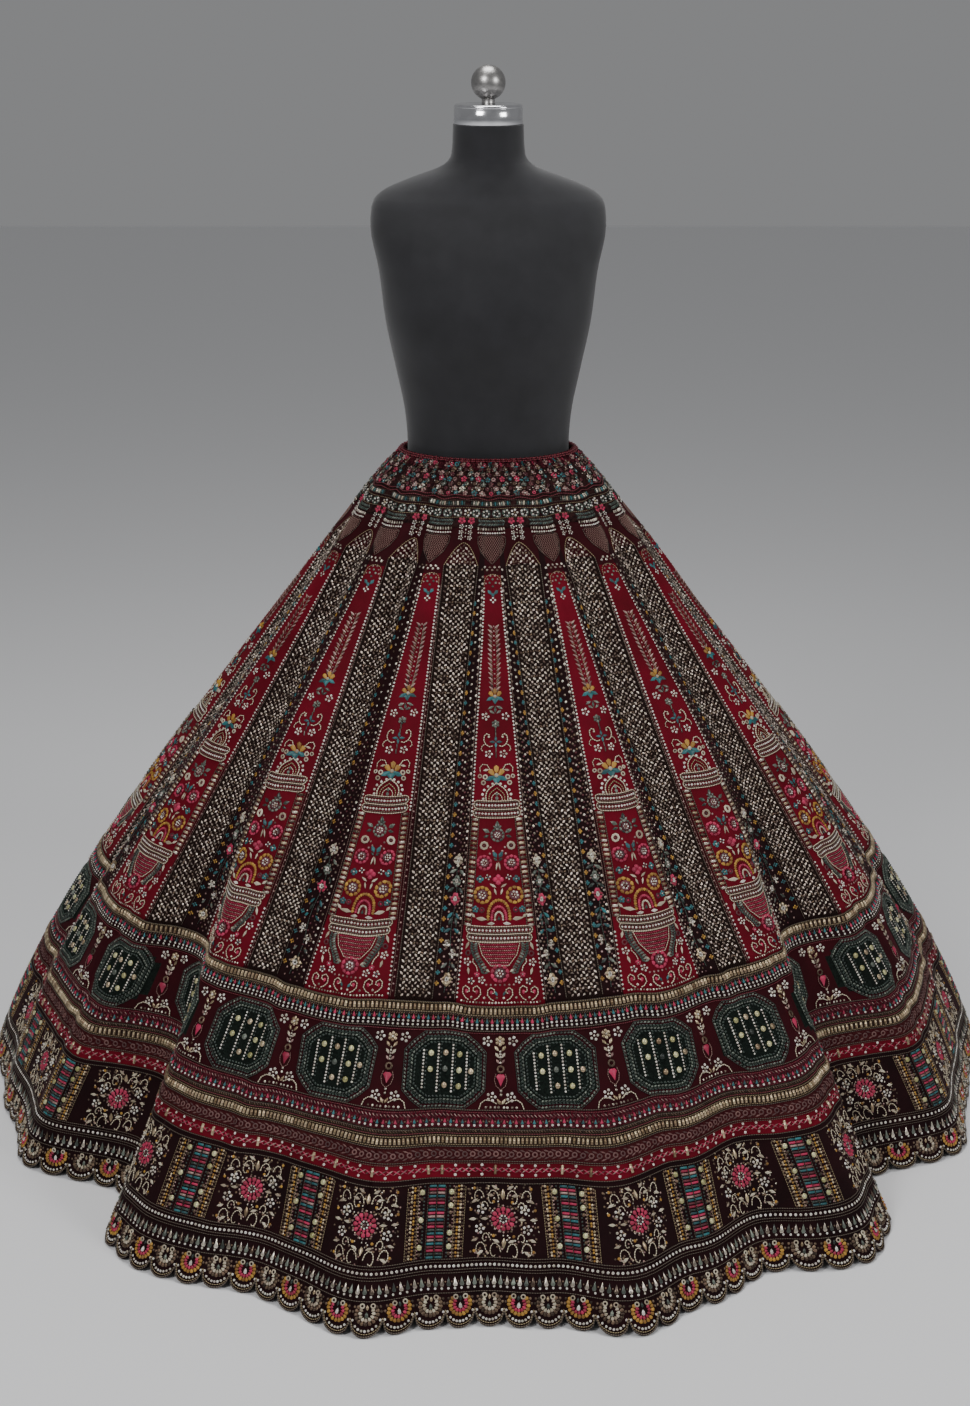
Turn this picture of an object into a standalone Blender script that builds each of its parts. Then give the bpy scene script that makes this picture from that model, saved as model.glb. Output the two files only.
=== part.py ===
"""Lehenga skirt of fourteen kalis with a scalloped border, on a limbless dress form.

Metres, +Z up, front towards -Y. The origin is on the floor, under the form's axis.
Angles run from the front towards +X. Cloth is measured by its distance down from
the waist edge, which is the same all round, so a seam or a braid stays level.
"""
import math

import bmesh
import bpy
from mathutils import Vector

# Skirt sizes
WAIST_HEIGHT = 0.982
WAIST_HALF_WIDTH = 0.1175
WAIST_HALF_DEPTH = 0.0885
CLOTH_LENGTH = 1.155
# The wall is measured level, so that seam edges lie flat: 2.5 mm square to a straight side
CLOTH_WALL = 0.0030
SEAM_GAP = 0.0003
# The skirt sits on the form turned a little, so its front kali is off the middle
SKIRT_TURN = 1.6

# How far the hem reaches from the form's axis, by angle from the front, and how far
# the cloth bellies out above it
HEM_REACH = [
    {"angle": 0.0, "reach": 0.722, "belly": 0.000},
    {"angle": 50.0, "reach": 0.722, "belly": 0.004},
    {"angle": 85.0, "reach": 0.735, "belly": 0.044},
    {"angle": 110.0, "reach": 0.782, "belly": 0.044},
    {"angle": 145.0, "reach": 0.635, "belly": 0.030},
    {"angle": 180.0, "reach": 0.530, "belly": 0.010},
]

# Behind, the cloth bells out, because its length has less way to spread
BELL_FROM = 95.0
BELL_SAG = 0.150
# Brings the belly's curve to 1 at its highest, two thirds of the way down
BELLY_PEAK = 6.75

# Folds that open towards the hem. A fold stands out where its height is positive and
# falls back where it is negative. It starts at a share of the cloth's length.
FOLDS = [
    {"angle": -13.0, "left": 9.0, "right": 8.0, "height": 0.036, "start": 0.52},
    {"angle": 0.0, "left": 6.0, "right": 6.0, "height": -0.010, "start": 0.60},
    {"angle": 14.5, "left": 8.0, "right": 8.0, "height": 0.038, "start": 0.50},
    {"angle": -26.0, "left": 7.0, "right": 6.0, "height": -0.014, "start": 0.55},
    {"angle": 32.0, "left": 9.0, "right": 6.0, "height": -0.030, "start": 0.50},
    {"angle": -39.0, "left": 7.0, "right": 10.0, "height": 0.016, "start": 0.45},
    {"angle": 42.5, "left": 8.0, "right": 7.0, "height": 0.030, "start": 0.45},
    {"angle": -53.5, "left": 15.0, "right": 9.0, "height": -0.088, "start": 0.34},
    {"angle": 57.5, "left": 9.0, "right": 14.0, "height": -0.092, "start": 0.34},
    {"angle": -75.0, "left": 9.0, "right": 10.0, "height": -0.016, "start": 0.45},
    {"angle": 79.0, "left": 9.0, "right": 10.0, "height": -0.012, "start": 0.45},
    {"angle": -97.0, "left": 12.0, "right": 12.0, "height": 0.024, "start": 0.40},
    {"angle": 100.0, "left": 12.0, "right": 13.0, "height": 0.020, "start": 0.40},
    {"angle": -118.0, "left": 12.0, "right": 11.0, "height": -0.060, "start": 0.36},
    {"angle": 121.0, "left": 12.0, "right": 11.0, "height": -0.055, "start": 0.36},
    {"angle": -138.0, "left": 12.0, "right": 11.0, "height": 0.030, "start": 0.42},
    {"angle": 141.0, "left": 12.0, "right": 11.0, "height": 0.034, "start": 0.40},
    {"angle": -158.0, "left": 10.0, "right": 10.0, "height": -0.040, "start": 0.40},
    {"angle": 161.0, "left": 10.0, "right": 10.0, "height": -0.034, "start": 0.42},
    {"angle": -176.0, "left": 11.0, "right": 10.0, "height": 0.022, "start": 0.40},
]

# The skirt swells just under its gathered edge, then falls straight
SWELL = 0.018
SWELL_REACH = 0.025

# Fourteen kalis stand out along their middles and fall back at their seams
KALIS = 14
KALI_COLUMNS = 6
FLUTE_HEIGHT = 0.017
FLUTE_SHARES = [0.5, 0.9, 1.0, 0.4, 0.4, 0.9, 1.1, 1.0, 1.1, 0.9, 0.6, 0.5, 1.0, 0.9]

# Cloth distances from the waist edge
FRILL_END = 0.016
YOKE_ROWS = [FRILL_END, 0.036, 0.066, 0.098]
KALI_END = 0.749
KALI_ROWS = 7
UPPER_BRAID_AT = 0.754
MIDDLE_BRAID_AT = 0.921
BRAID_WIDTH = 0.009
BORDER_ROWS = [
    KALI_END,
    UPPER_BRAID_AT + 0.5 * BRAID_WIDTH,
    MIDDLE_BRAID_AT - 0.5 * BRAID_WIDTH,
    MIDDLE_BRAID_AT + 0.5 * BRAID_WIDTH,
    1.022,
    1.117,
]

# Gathers along the waist edge
FRILL_WAVES = 84
FRILL_DEPTH = 0.0030
FRILL_FLARE = 0.003
YOKE_COLUMNS = 84

# Border pieces, scallops and braids
BORDER_PIECES = 12
SCALLOPS_PER_PIECE = 10
SCALLOP_STEPS = 4
# A notch between scallops starts this share of the way down from the last row
SCALLOP_ROOT = 0.5
BRAID_THICKNESS = 0.002

# The form's waist fills the gathered edge, whose inner troughs lie on it
FORM_WAIST_WIDTH = WAIST_HALF_WIDTH - FRILL_DEPTH + FRILL_FLARE - CLOTH_WALL - SEAM_GAP
FORM_WAIST_DEPTH = WAIST_HALF_DEPTH - FRILL_DEPTH + FRILL_FLARE - CLOTH_WALL - SEAM_GAP

# Dress form sections, from the waist: height, half width, half depth, middle forward
FORM_SECTIONS = [
    {"up": -0.240, "width": 0.158, "depth": 0.112, "forward": 0.000},
    {"up": -0.170, "width": 0.160, "depth": 0.116, "forward": 0.000},
    {"up": -0.090, "width": 0.142, "depth": 0.106, "forward": 0.000},
    {"up": -0.030, "width": 0.1165, "depth": 0.0885, "forward": 0.000},
    {"up": 0.000, "width": FORM_WAIST_WIDTH, "depth": FORM_WAIST_DEPTH, "forward": 0.000},
    {"up": 0.050, "width": 0.1175, "depth": 0.0895, "forward": 0.000},
    {"up": 0.110, "width": 0.129, "depth": 0.100, "forward": 0.004},
    {"up": 0.180, "width": 0.143, "depth": 0.116, "forward": 0.010},
    {"up": 0.250, "width": 0.152, "depth": 0.108, "forward": 0.006},
    {"up": 0.310, "width": 0.163, "depth": 0.090, "forward": 0.000},
    {"up": 0.340, "width": 0.160, "depth": 0.078, "forward": -0.004},
    {"up": 0.358, "width": 0.142, "depth": 0.069, "forward": -0.006},
    {"up": 0.374, "width": 0.104, "depth": 0.061, "forward": -0.006},
    {"up": 0.388, "width": 0.066, "depth": 0.054, "forward": -0.004},
    {"up": 0.405, "width": 0.051, "depth": 0.050, "forward": -0.002},
    {"up": 0.445, "width": 0.0485, "depth": 0.0485, "forward": 0.000},
]
FORM_COLUMNS = 36

# Neck cap, finial, pole and base
CAP_RADIUS = 0.0472
CAP_HEIGHT = 0.027
FINIAL_BALL_RADIUS = 0.0236
FINIAL_STEM_RADIUS = 0.009
FINIAL_STEM_HEIGHT = 0.006
POLE_RADIUS = 0.0125
BASE_RADIUS = 0.165
BASE_HEIGHT = 0.026
TURNED_STEPS = 28


def smooth_step(share):
    """Rise from 0 to 1 with level ends."""
    share = min(max(share, 0.0), 1.0)
    return share * share * (3.0 - 2.0 * share)


def turn_between(angle, middle):
    """Signed degrees from middle to angle, by the short way."""
    return (angle - middle + 180.0) % 360.0 - 180.0


def around(angle, column):
    """Reach or belly of the skirt at an angle, without its folds."""
    away = abs(turn_between(angle, 0.0))
    for near, far in zip(HEM_REACH, HEM_REACH[1:]):
        if away <= far["angle"]:
            share = smooth_step((away - near["angle"]) / (far["angle"] - near["angle"]))
            return near[column] + (far[column] - near[column]) * share
    return HEM_REACH[-1][column]


def fold_height(angle, down):
    """How far the folds move the cloth outwards; down runs from 0 to 1."""
    height = 0.0
    for fold in FOLDS:
        turn = turn_between(angle, fold["angle"])
        width = fold["right"] if turn > 0.0 else fold["left"]
        if abs(turn) < width and down > fold["start"]:
            grown = smooth_step((down - fold["start"]) / (1.0 - fold["start"]))
            height += fold["height"] * grown * 0.5 * (1.0 + math.cos(math.pi * turn / width))
    return height


def flute_height(angle, down):
    """Kalis stand out along their middles, most at half height."""
    place = ((angle - SKIRT_TURN) / (360.0 / KALIS)) % KALIS
    kali = int(round(place)) % KALIS
    following = (kali + 1) % KALIS
    previous = (kali - 1) % KALIS
    offset = place - round(place)
    other = following if offset > 0.0 else previous
    share = FLUTE_SHARES[kali] + (FLUTE_SHARES[other] - FLUTE_SHARES[kali]) * abs(offset)
    grown = math.sin(math.pi * min(1.0, down ** 0.75)) ** 1.2
    return FLUTE_HEIGHT * share * grown * math.cos(2.0 * math.pi * place)


def waist_reach(angle):
    """Radius of the oval waist."""
    turned = math.radians(angle)
    across = math.sin(turned) / WAIST_HALF_WIDTH
    along = math.cos(turned) / WAIST_HALF_DEPTH
    return 1.0 / math.hypot(across, along)


def skirt_point(angle, cloth, out=0.0):
    """Point of the cloth's outer face, or of a face that lies level outside it."""
    down = cloth / CLOTH_LENGTH
    top = waist_reach(angle)
    reach = around(angle, "reach")
    chord = math.hypot(reach - top, WAIST_HEIGHT)
    behind = (abs(turn_between(angle, 0.0)) - BELL_FROM) / (180.0 - BELL_FROM)
    sag = BELL_SAG * smooth_step(behind)
    pull_r = 0.5 * (top + reach) + 2.0 * sag * WAIST_HEIGHT / chord
    pull_z = 0.5 * WAIST_HEIGHT + 2.0 * sag * (reach - top) / chord
    up = 1.0 - down
    radius = up * up * top + 2.0 * up * down * pull_r + down * down * reach
    height = up * up * WAIST_HEIGHT + 2.0 * up * down * pull_z
    radius += SWELL * (1.0 - math.exp(-cloth / SWELL_REACH)) * up
    radius += around(angle, "belly") * BELLY_PEAK * down * down * up
    radius += fold_height(angle, down) + flute_height(angle, down) + out
    turned = math.radians(angle)
    return Vector((radius * math.sin(turned), -radius * math.cos(turned), height))


def frill_point(angle, cloth, out=0.0):
    """Point of the gathered waist edge, whose waves open towards its top."""
    point = skirt_point(angle, cloth, out)
    open_share = 1.0 - cloth / FRILL_END
    wave = math.cos(math.radians(angle * FRILL_WAVES))
    turned = math.radians(angle)
    move = FRILL_DEPTH * (0.35 + 0.65 * open_share) * wave + FRILL_FLARE * open_share ** 2
    return point + Vector((math.sin(turned), -math.cos(turned), 0.0)) * move


def new_material(name, colour, roughness, metallic=0.0):
    """A plain Principled material."""
    material = bpy.data.materials.new(name)
    material.use_nodes = True
    shader = material.node_tree.nodes["Principled BSDF"]
    shader.inputs["Base Color"].default_value = (*colour, 1.0)
    shader.inputs["Roughness"].default_value = roughness
    shader.inputs["Metallic"].default_value = metallic
    material.diffuse_color = (*colour, 1.0)
    return material


def add_object(name, shape, material, collection):
    """Put a bmesh into the scene as a named object."""
    mesh = bpy.data.meshes.new(name)
    shape.to_mesh(mesh)
    shape.free()
    mesh.materials.append(material)
    mesh.shade_smooth()
    mesh.set_sharp_from_angle(angle=math.radians(50.0))
    built = bpy.data.objects.new(name, mesh)
    collection.objects.link(built)
    return built


def face_towards(shape, corners, outward):
    """Add a face whose normal points the way of outward."""
    normal = (corners[1].co - corners[0].co).cross(corners[2].co - corners[0].co)
    if normal.dot(outward) < 0.0:
        corners = list(reversed(corners))
    shape.faces.new(corners)


def split_quad(shape, corners, outward):
    """Add a bent four-sided face as two triangles."""
    face_towards(shape, [corners[0], corners[1], corners[2]], outward)
    face_towards(shape, [corners[0], corners[2], corners[3]], outward)


def wall_between(shape, outer, inner, closed):
    """Join two grids of vertices, rows by columns, into one cloth wall."""
    rows = len(outer)
    columns = len(outer[0])
    spans = columns if closed else columns - 1
    for row in range(rows - 1):
        for column in range(spans):
            following = (column + 1) % columns
            outward = outer[row][column].co - inner[row][column].co
            for grid, way in ((outer, outward), (inner, -outward)):
                corners = [grid[row][column], grid[row][following],
                           grid[row + 1][following], grid[row + 1][column]]
                split_quad(shape, corners, way)


def rim_between(shape, outer_line, inner_line, outward, closed):
    """Close a wall along one edge; outward gives the edge's way at each point."""
    count = len(outer_line)
    spans = count if closed else count - 1
    for place in range(spans):
        following = (place + 1) % count
        corners = [outer_line[place], outer_line[following],
                   inner_line[following], inner_line[place]]
        split_quad(shape, corners, outward[place])


def grid_of(shape, angles, cloths, point_at, out):
    """Vertices of one face of the wall."""
    return [[shape.verts.new(point_at(angle, cloth, out)) for angle in angles]
            for cloth in cloths]


def tube(name, columns, cloths, point_at, material, collection):
    """A closed ring of cloth with a top and a bottom edge."""
    shape = bmesh.new()
    angles = [360.0 * column / columns for column in range(columns)]
    outer = grid_of(shape, angles, cloths, point_at, 0.0)
    inner = grid_of(shape, angles, cloths, point_at, -CLOTH_WALL)
    wall_between(shape, outer, inner, True)
    upward = [Vector((0.0, 0.0, 1.0))] * columns
    rim_between(shape, outer[0], inner[0], upward, True)
    rim_between(shape, outer[-1], inner[-1], [-way for way in upward], True)
    return add_object(name, shape, material, collection)


def panel_angles(middle, width, columns, cloth):
    """Column angles of a panel, short of its seams by half a seam gap each side."""
    radius = math.hypot(*skirt_point(middle, cloth).xy)
    trim = math.degrees(0.5 * SEAM_GAP / radius)
    start = middle - 0.5 * width + trim
    step = (width - 2.0 * trim) / columns
    return [start + step * column for column in range(columns + 1)]


def panel_grids(shape, middle, width, columns, cloths):
    """Outer and inner vertices of an open panel, whose seams stay parallel."""
    outer = []
    inner = []
    for cloth in cloths:
        angles = panel_angles(middle, width, columns, cloth)
        outer.append([shape.verts.new(skirt_point(angle, cloth)) for angle in angles])
        inner.append([shape.verts.new(skirt_point(angle, cloth, -CLOTH_WALL))
                      for angle in angles])
    return outer, inner


def close_sides(shape, outer, inner):
    """Close a panel's two seam edges."""
    for column, inside in ((0, 1), (-1, -2)):
        way = outer[0][column].co - outer[0][inside].co
        outer_line = [row[column] for row in outer]
        inner_line = [row[column] for row in inner]
        rim_between(shape, outer_line, inner_line, [way] * len(outer_line), False)


def kali(number, material, collection):
    """One flared panel from the yoke to the border."""
    shape = bmesh.new()
    first = YOKE_ROWS[-1] + SEAM_GAP
    step = (KALI_END - SEAM_GAP - first) / KALI_ROWS
    cloths = [first + step * row for row in range(KALI_ROWS + 1)]
    width = 360.0 / KALIS
    middle = number * width + SKIRT_TURN
    outer, inner = panel_grids(shape, middle, width, KALI_COLUMNS, cloths)
    wall_between(shape, outer, inner, False)
    upward = [Vector((0.0, 0.0, 1.0))] * (KALI_COLUMNS + 1)
    rim_between(shape, outer[0], inner[0], upward, False)
    rim_between(shape, outer[-1], inner[-1], [-way for way in upward], False)
    close_sides(shape, outer, inner)
    return add_object(f"kali_{number + 1:02d}", shape, material, collection)


def scallop_drop(step):
    """How far down a scallop's edge lies, from its root to its tip."""
    across = 2.0 * step / SCALLOP_STEPS - 1.0
    rounded = SCALLOP_ROOT + (1.0 - SCALLOP_ROOT) * math.sqrt(1.0 - across * across)
    return (CLOTH_LENGTH - BORDER_ROWS[-1]) * rounded


def scallop_edge(shape, angles, out):
    """Vertices along the scalloped hem, from the first seam to the last."""
    line = []
    for left, right in zip(angles, angles[1:]):
        for step in range(SCALLOP_STEPS):
            angle = left + (right - left) * step / SCALLOP_STEPS
            cloth = BORDER_ROWS[-1] + scallop_drop(step)
            line.append(shape.verts.new(skirt_point(angle, cloth, out)))
    line.append(shape.verts.new(skirt_point(angles[-1], BORDER_ROWS[-1] + scallop_drop(0), out)))
    return line


def border_piece(number, material, collection):
    """One twelfth of the border, with its share of the scallops."""
    shape = bmesh.new()
    width = 360.0 / BORDER_PIECES
    middle = number * width + SKIRT_TURN
    columns = SCALLOPS_PER_PIECE
    outer, inner = panel_grids(shape, middle, width, columns, BORDER_ROWS)
    wall_between(shape, outer, inner, False)
    upward = [Vector((0.0, 0.0, 1.0))] * (columns + 1)
    rim_between(shape, outer[0], inner[0], upward, False)
    close_sides(shape, outer, inner)
    angles = panel_angles(middle, width, columns, CLOTH_LENGTH)
    outer_edge = scallop_edge(shape, angles, 0.0)
    inner_edge = scallop_edge(shape, angles, -CLOTH_WALL)
    for grid, edge, sign in ((outer, outer_edge, 1.0), (inner, inner_edge, -1.0)):
        for column in range(columns):
            outward = (outer[-1][column].co - inner[-1][column].co) * sign
            first = column * SCALLOP_STEPS
            tip = first + SCALLOP_STEPS // 2
            left, right = grid[-1][column], grid[-1][column + 1]
            for step in range(first, first + SCALLOP_STEPS):
                root = left if step < tip else right
                face_towards(shape, [root, edge[step], edge[step + 1]], outward)
            face_towards(shape, [left, right, edge[tip]], outward)
    downward = [Vector((0.0, 0.0, -1.0))] * len(outer_edge)
    rim_between(shape, outer_edge, inner_edge, downward, False)
    for column, place in ((0, 0), (-1, -1)):
        way = outer[-1][column].co - outer[-1][1 if column == 0 else -2].co
        corners = [outer[-1][column], outer_edge[place], inner_edge[place], inner[-1][column]]
        split_quad(shape, corners, way)
    return add_object(f"border_piece_{number + 1:02d}", shape, material, collection)


def braid(name, cloth, material, collection):
    """A flat gold braid, sewn on just clear of the border."""
    shape = bmesh.new()
    half = 0.5 * BRAID_WIDTH
    under = SEAM_GAP
    over = SEAM_GAP + BRAID_THICKNESS
    section = [(-half, under), (-half, over), (half, over), (half, under)]
    loops = []
    width = 360.0 / BORDER_PIECES
    for piece in range(BORDER_PIECES):
        middle = piece * width + SKIRT_TURN
        for angle in panel_angles(middle, width, SCALLOPS_PER_PIECE, cloth)[:-1]:
            loops.append([shape.verts.new(skirt_point(angle, cloth + along, out))
                          for along, out in section])
    for place, loop in enumerate(loops):
        following = loops[(place + 1) % len(loops)]
        centre = sum((vertex.co for vertex in loop), Vector()) / len(loop)
        for corner in range(len(section)):
            other = (corner + 1) % len(section)
            upper, lower = sorted((corner, other), key=lambda end: section[end][0])
            corners = [loop[upper], following[upper], following[lower], loop[lower]]
            side_middle = 0.5 * (loop[corner].co + loop[other].co)
            split_quad(shape, corners, side_middle - centre)
    return add_object(name, shape, material, collection)


def form_torso(material, collection):
    """The padded torso of the form: a loft through its sections, closed at both ends."""
    shape = bmesh.new()
    rings = []
    for section in FORM_SECTIONS:
        ring = []
        for column in range(FORM_COLUMNS):
            turned = 2.0 * math.pi * column / FORM_COLUMNS
            ring.append(shape.verts.new((
                section["width"] * math.sin(turned),
                -section["forward"] - section["depth"] * math.cos(turned),
                WAIST_HEIGHT + section["up"])))
        rings.append(ring)
    for lower, upper in zip(rings, rings[1:]):
        for column in range(FORM_COLUMNS):
            following = (column + 1) % FORM_COLUMNS
            outward = Vector((lower[column].co.x, lower[column].co.y, 0.0))
            corners = [lower[column], lower[following], upper[following], upper[column]]
            split_quad(shape, corners, outward)
    face_towards(shape, rings[0], Vector((0.0, 0.0, -1.0)))
    face_towards(shape, rings[-1], Vector((0.0, 0.0, 1.0)))
    return add_object("form_torso", shape, material, collection)


def turned(name, profile, material, collection):
    """A turned piece from a profile that runs down its outer side."""
    mesh = bpy.data.meshes.new(name)
    edges = [(place, place + 1) for place in range(len(profile) - 1)]
    mesh.from_pydata([(radius, 0.0, height) for radius, height in profile], edges, [])
    mesh.materials.append(material)
    built = bpy.data.objects.new(name, mesh)
    collection.objects.link(built)
    screw = built.modifiers.new("Turn", "SCREW")
    screw.steps = TURNED_STEPS
    screw.render_steps = TURNED_STEPS
    screw.use_merge_vertices = True
    screw.merge_threshold = 0.0001
    screw.use_smooth_shade = True
    return built


def form_hardware(chrome, steel, collection):
    """Neck cap, finial, pole and base, on the form's axis."""
    neck_top = WAIST_HEIGHT + FORM_SECTIONS[-1]["up"]
    cap_foot = neck_top + SEAM_GAP
    cap_top = cap_foot + CAP_HEIGHT
    bevel = 0.004
    turned("form_neck_cap", [
        (0.0, cap_top),
        (CAP_RADIUS - bevel, cap_top),
        (CAP_RADIUS - 0.3 * bevel, cap_top - 0.3 * bevel),
        (CAP_RADIUS, cap_top - bevel),
        (CAP_RADIUS, cap_foot),
        (0.0, cap_foot),
    ], chrome, collection)
    stem_foot = cap_top + SEAM_GAP
    sink = math.sqrt(FINIAL_BALL_RADIUS ** 2 - FINIAL_STEM_RADIUS ** 2)
    ball_middle = stem_foot + FINIAL_STEM_HEIGHT + sink
    arc_steps = 9
    arc_end = math.pi - math.asin(FINIAL_STEM_RADIUS / FINIAL_BALL_RADIUS)
    profile = []
    for step in range(arc_steps + 1):
        turn = arc_end * step / arc_steps
        profile.append((FINIAL_BALL_RADIUS * math.sin(turn),
                        ball_middle + FINIAL_BALL_RADIUS * math.cos(turn)))
    profile.append((FINIAL_STEM_RADIUS, stem_foot))
    profile.append((0.0, stem_foot))
    turned("form_finial", profile, steel, collection)
    torso_foot = WAIST_HEIGHT + FORM_SECTIONS[0]["up"]
    turned("form_pole", [
        (0.0, torso_foot - SEAM_GAP),
        (POLE_RADIUS, torso_foot - SEAM_GAP),
        (POLE_RADIUS, BASE_HEIGHT + SEAM_GAP),
        (0.0, BASE_HEIGHT + SEAM_GAP),
    ], steel, collection)
    edge = 0.006
    turned("form_base", [
        (0.0, BASE_HEIGHT),
        (2.2 * POLE_RADIUS, BASE_HEIGHT),
        (2.8 * POLE_RADIUS, BASE_HEIGHT - 0.010),
        (BASE_RADIUS - edge, BASE_HEIGHT - 0.014),
        (BASE_RADIUS, BASE_HEIGHT - 0.014 - edge),
        (BASE_RADIUS, 0.0),
        (0.0, 0.0),
    ], steel, collection)


def main():
    for leftover in list(bpy.data.objects):
        bpy.data.objects.remove(leftover)
    collection = bpy.data.collections.new("Lehenga")
    bpy.context.scene.collection.children.link(collection)

    frill_cloth = new_material("Frill", (0.20, 0.02, 0.05), 0.8)
    yoke_cloth = new_material("Yoke", (0.16, 0.05, 0.06), 0.75)
    kali_cloth = new_material("Kali", (0.28, 0.02, 0.05), 0.75)
    border_cloth = new_material("Border", (0.13, 0.02, 0.04), 0.75)
    gold = new_material("Gold braid", (0.55, 0.42, 0.22), 0.4, 0.8)
    black_cloth = new_material("Form cover", (0.012, 0.012, 0.014), 0.7)
    chrome = new_material("Chrome", (0.80, 0.80, 0.82), 0.12, 1.0)
    steel = new_material("Brushed steel", (0.55, 0.55, 0.56), 0.35, 1.0)

    tube("waist_frill", 2 * FRILL_WAVES, [0.0, FRILL_END - SEAM_GAP], frill_point,
         frill_cloth, collection)
    tube("yoke", YOKE_COLUMNS, YOKE_ROWS, skirt_point, yoke_cloth, collection)
    for number in range(KALIS):
        kali(number, kali_cloth, collection)
    for number in range(BORDER_PIECES):
        border_piece(number, border_cloth, collection)
    braid("upper_braid", UPPER_BRAID_AT, gold, collection)
    braid("middle_braid", MIDDLE_BRAID_AT, gold, collection)
    form_torso(black_cloth, collection)
    form_hardware(chrome, steel, collection)


main()
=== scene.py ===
import math

import bpy
import numpy as np
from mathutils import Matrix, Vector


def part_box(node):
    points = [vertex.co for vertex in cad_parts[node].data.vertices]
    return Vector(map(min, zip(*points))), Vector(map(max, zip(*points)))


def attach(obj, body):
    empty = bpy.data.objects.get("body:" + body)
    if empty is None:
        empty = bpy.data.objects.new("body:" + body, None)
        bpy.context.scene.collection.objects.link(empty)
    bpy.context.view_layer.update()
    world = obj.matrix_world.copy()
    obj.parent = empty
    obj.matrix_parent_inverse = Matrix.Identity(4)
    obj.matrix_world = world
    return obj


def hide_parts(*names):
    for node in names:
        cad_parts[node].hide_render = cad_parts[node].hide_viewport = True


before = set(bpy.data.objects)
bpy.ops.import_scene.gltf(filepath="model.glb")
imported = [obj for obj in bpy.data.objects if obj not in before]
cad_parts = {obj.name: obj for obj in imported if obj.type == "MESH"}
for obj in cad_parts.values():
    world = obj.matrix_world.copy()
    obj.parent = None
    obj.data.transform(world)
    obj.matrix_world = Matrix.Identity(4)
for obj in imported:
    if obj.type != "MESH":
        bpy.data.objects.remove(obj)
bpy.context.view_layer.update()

# Lehenga skirt of velvet kalis with sequin, bead and zari embroidery, on a dress form.
# Metres, +Z up, front towards -Y. Angles run in degrees from the front towards +X.
# Cloth is measured by its distance down from the waist edge, the same all round.
# Charts of the sewing are in millimetres.

MM = 0.001

# Skirt sizes, as the solids have them
WAIST_HEIGHT = 0.982
WAIST_HALF_WIDTH = 0.1175
WAIST_HALF_DEPTH = 0.0885
CLOTH_LENGTH = 1.155
CLOTH_WALL = 0.0024
SEAM_GAP = 0.0003
SKIRT_TURN = 1.6

# Angle, reach at the hem and how far the cloth bellies out above it
HEM_REACH = [
    (0.0, 0.722, 0.0), (50.0, 0.722, 0.004), (85.0, 0.735, 0.044), (110.0, 0.782, 0.044),
    (145.0, 0.635, 0.03), (180.0, 0.53, 0.01),
]
BELL_FROM = 95.0
BELL_SAG = 0.15
BELLY_PEAK = 6.75

# Angle, width to its left and right, height at the hem, and where it starts (0 waist, 1 hem)
FOLDS = [
    (-13.0, 9.0, 8.0, 0.036, 0.52), (0.0, 6.0, 6.0, -0.01, 0.6), (14.5, 8.0, 8.0, 0.038, 0.5),
    (-26.0, 7.0, 6.0, -0.014, 0.55), (32.0, 9.0, 6.0, -0.03, 0.5), (-39.0, 7.0, 10.0, 0.016, 0.45),
    (42.5, 8.0, 7.0, 0.03, 0.45), (-53.5, 15.0, 9.0, -0.088, 0.34), (57.5, 9.0, 14.0, -0.092, 0.34),
    (-75.0, 9.0, 10.0, -0.016, 0.45), (79.0, 9.0, 10.0, -0.012, 0.45), (-97.0, 12.0, 12.0, 0.024, 0.4),
    (100.0, 12.0, 13.0, 0.02, 0.4), (-118.0, 12.0, 11.0, -0.06, 0.36), (121.0, 12.0, 11.0, -0.055, 0.36),
    (-138.0, 12.0, 11.0, 0.03, 0.42), (141.0, 12.0, 11.0, 0.034, 0.4), (-158.0, 10.0, 10.0, -0.04, 0.4),
    (161.0, 10.0, 10.0, -0.034, 0.42), (-176.0, 11.0, 10.0, 0.022, 0.4),
]

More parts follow.
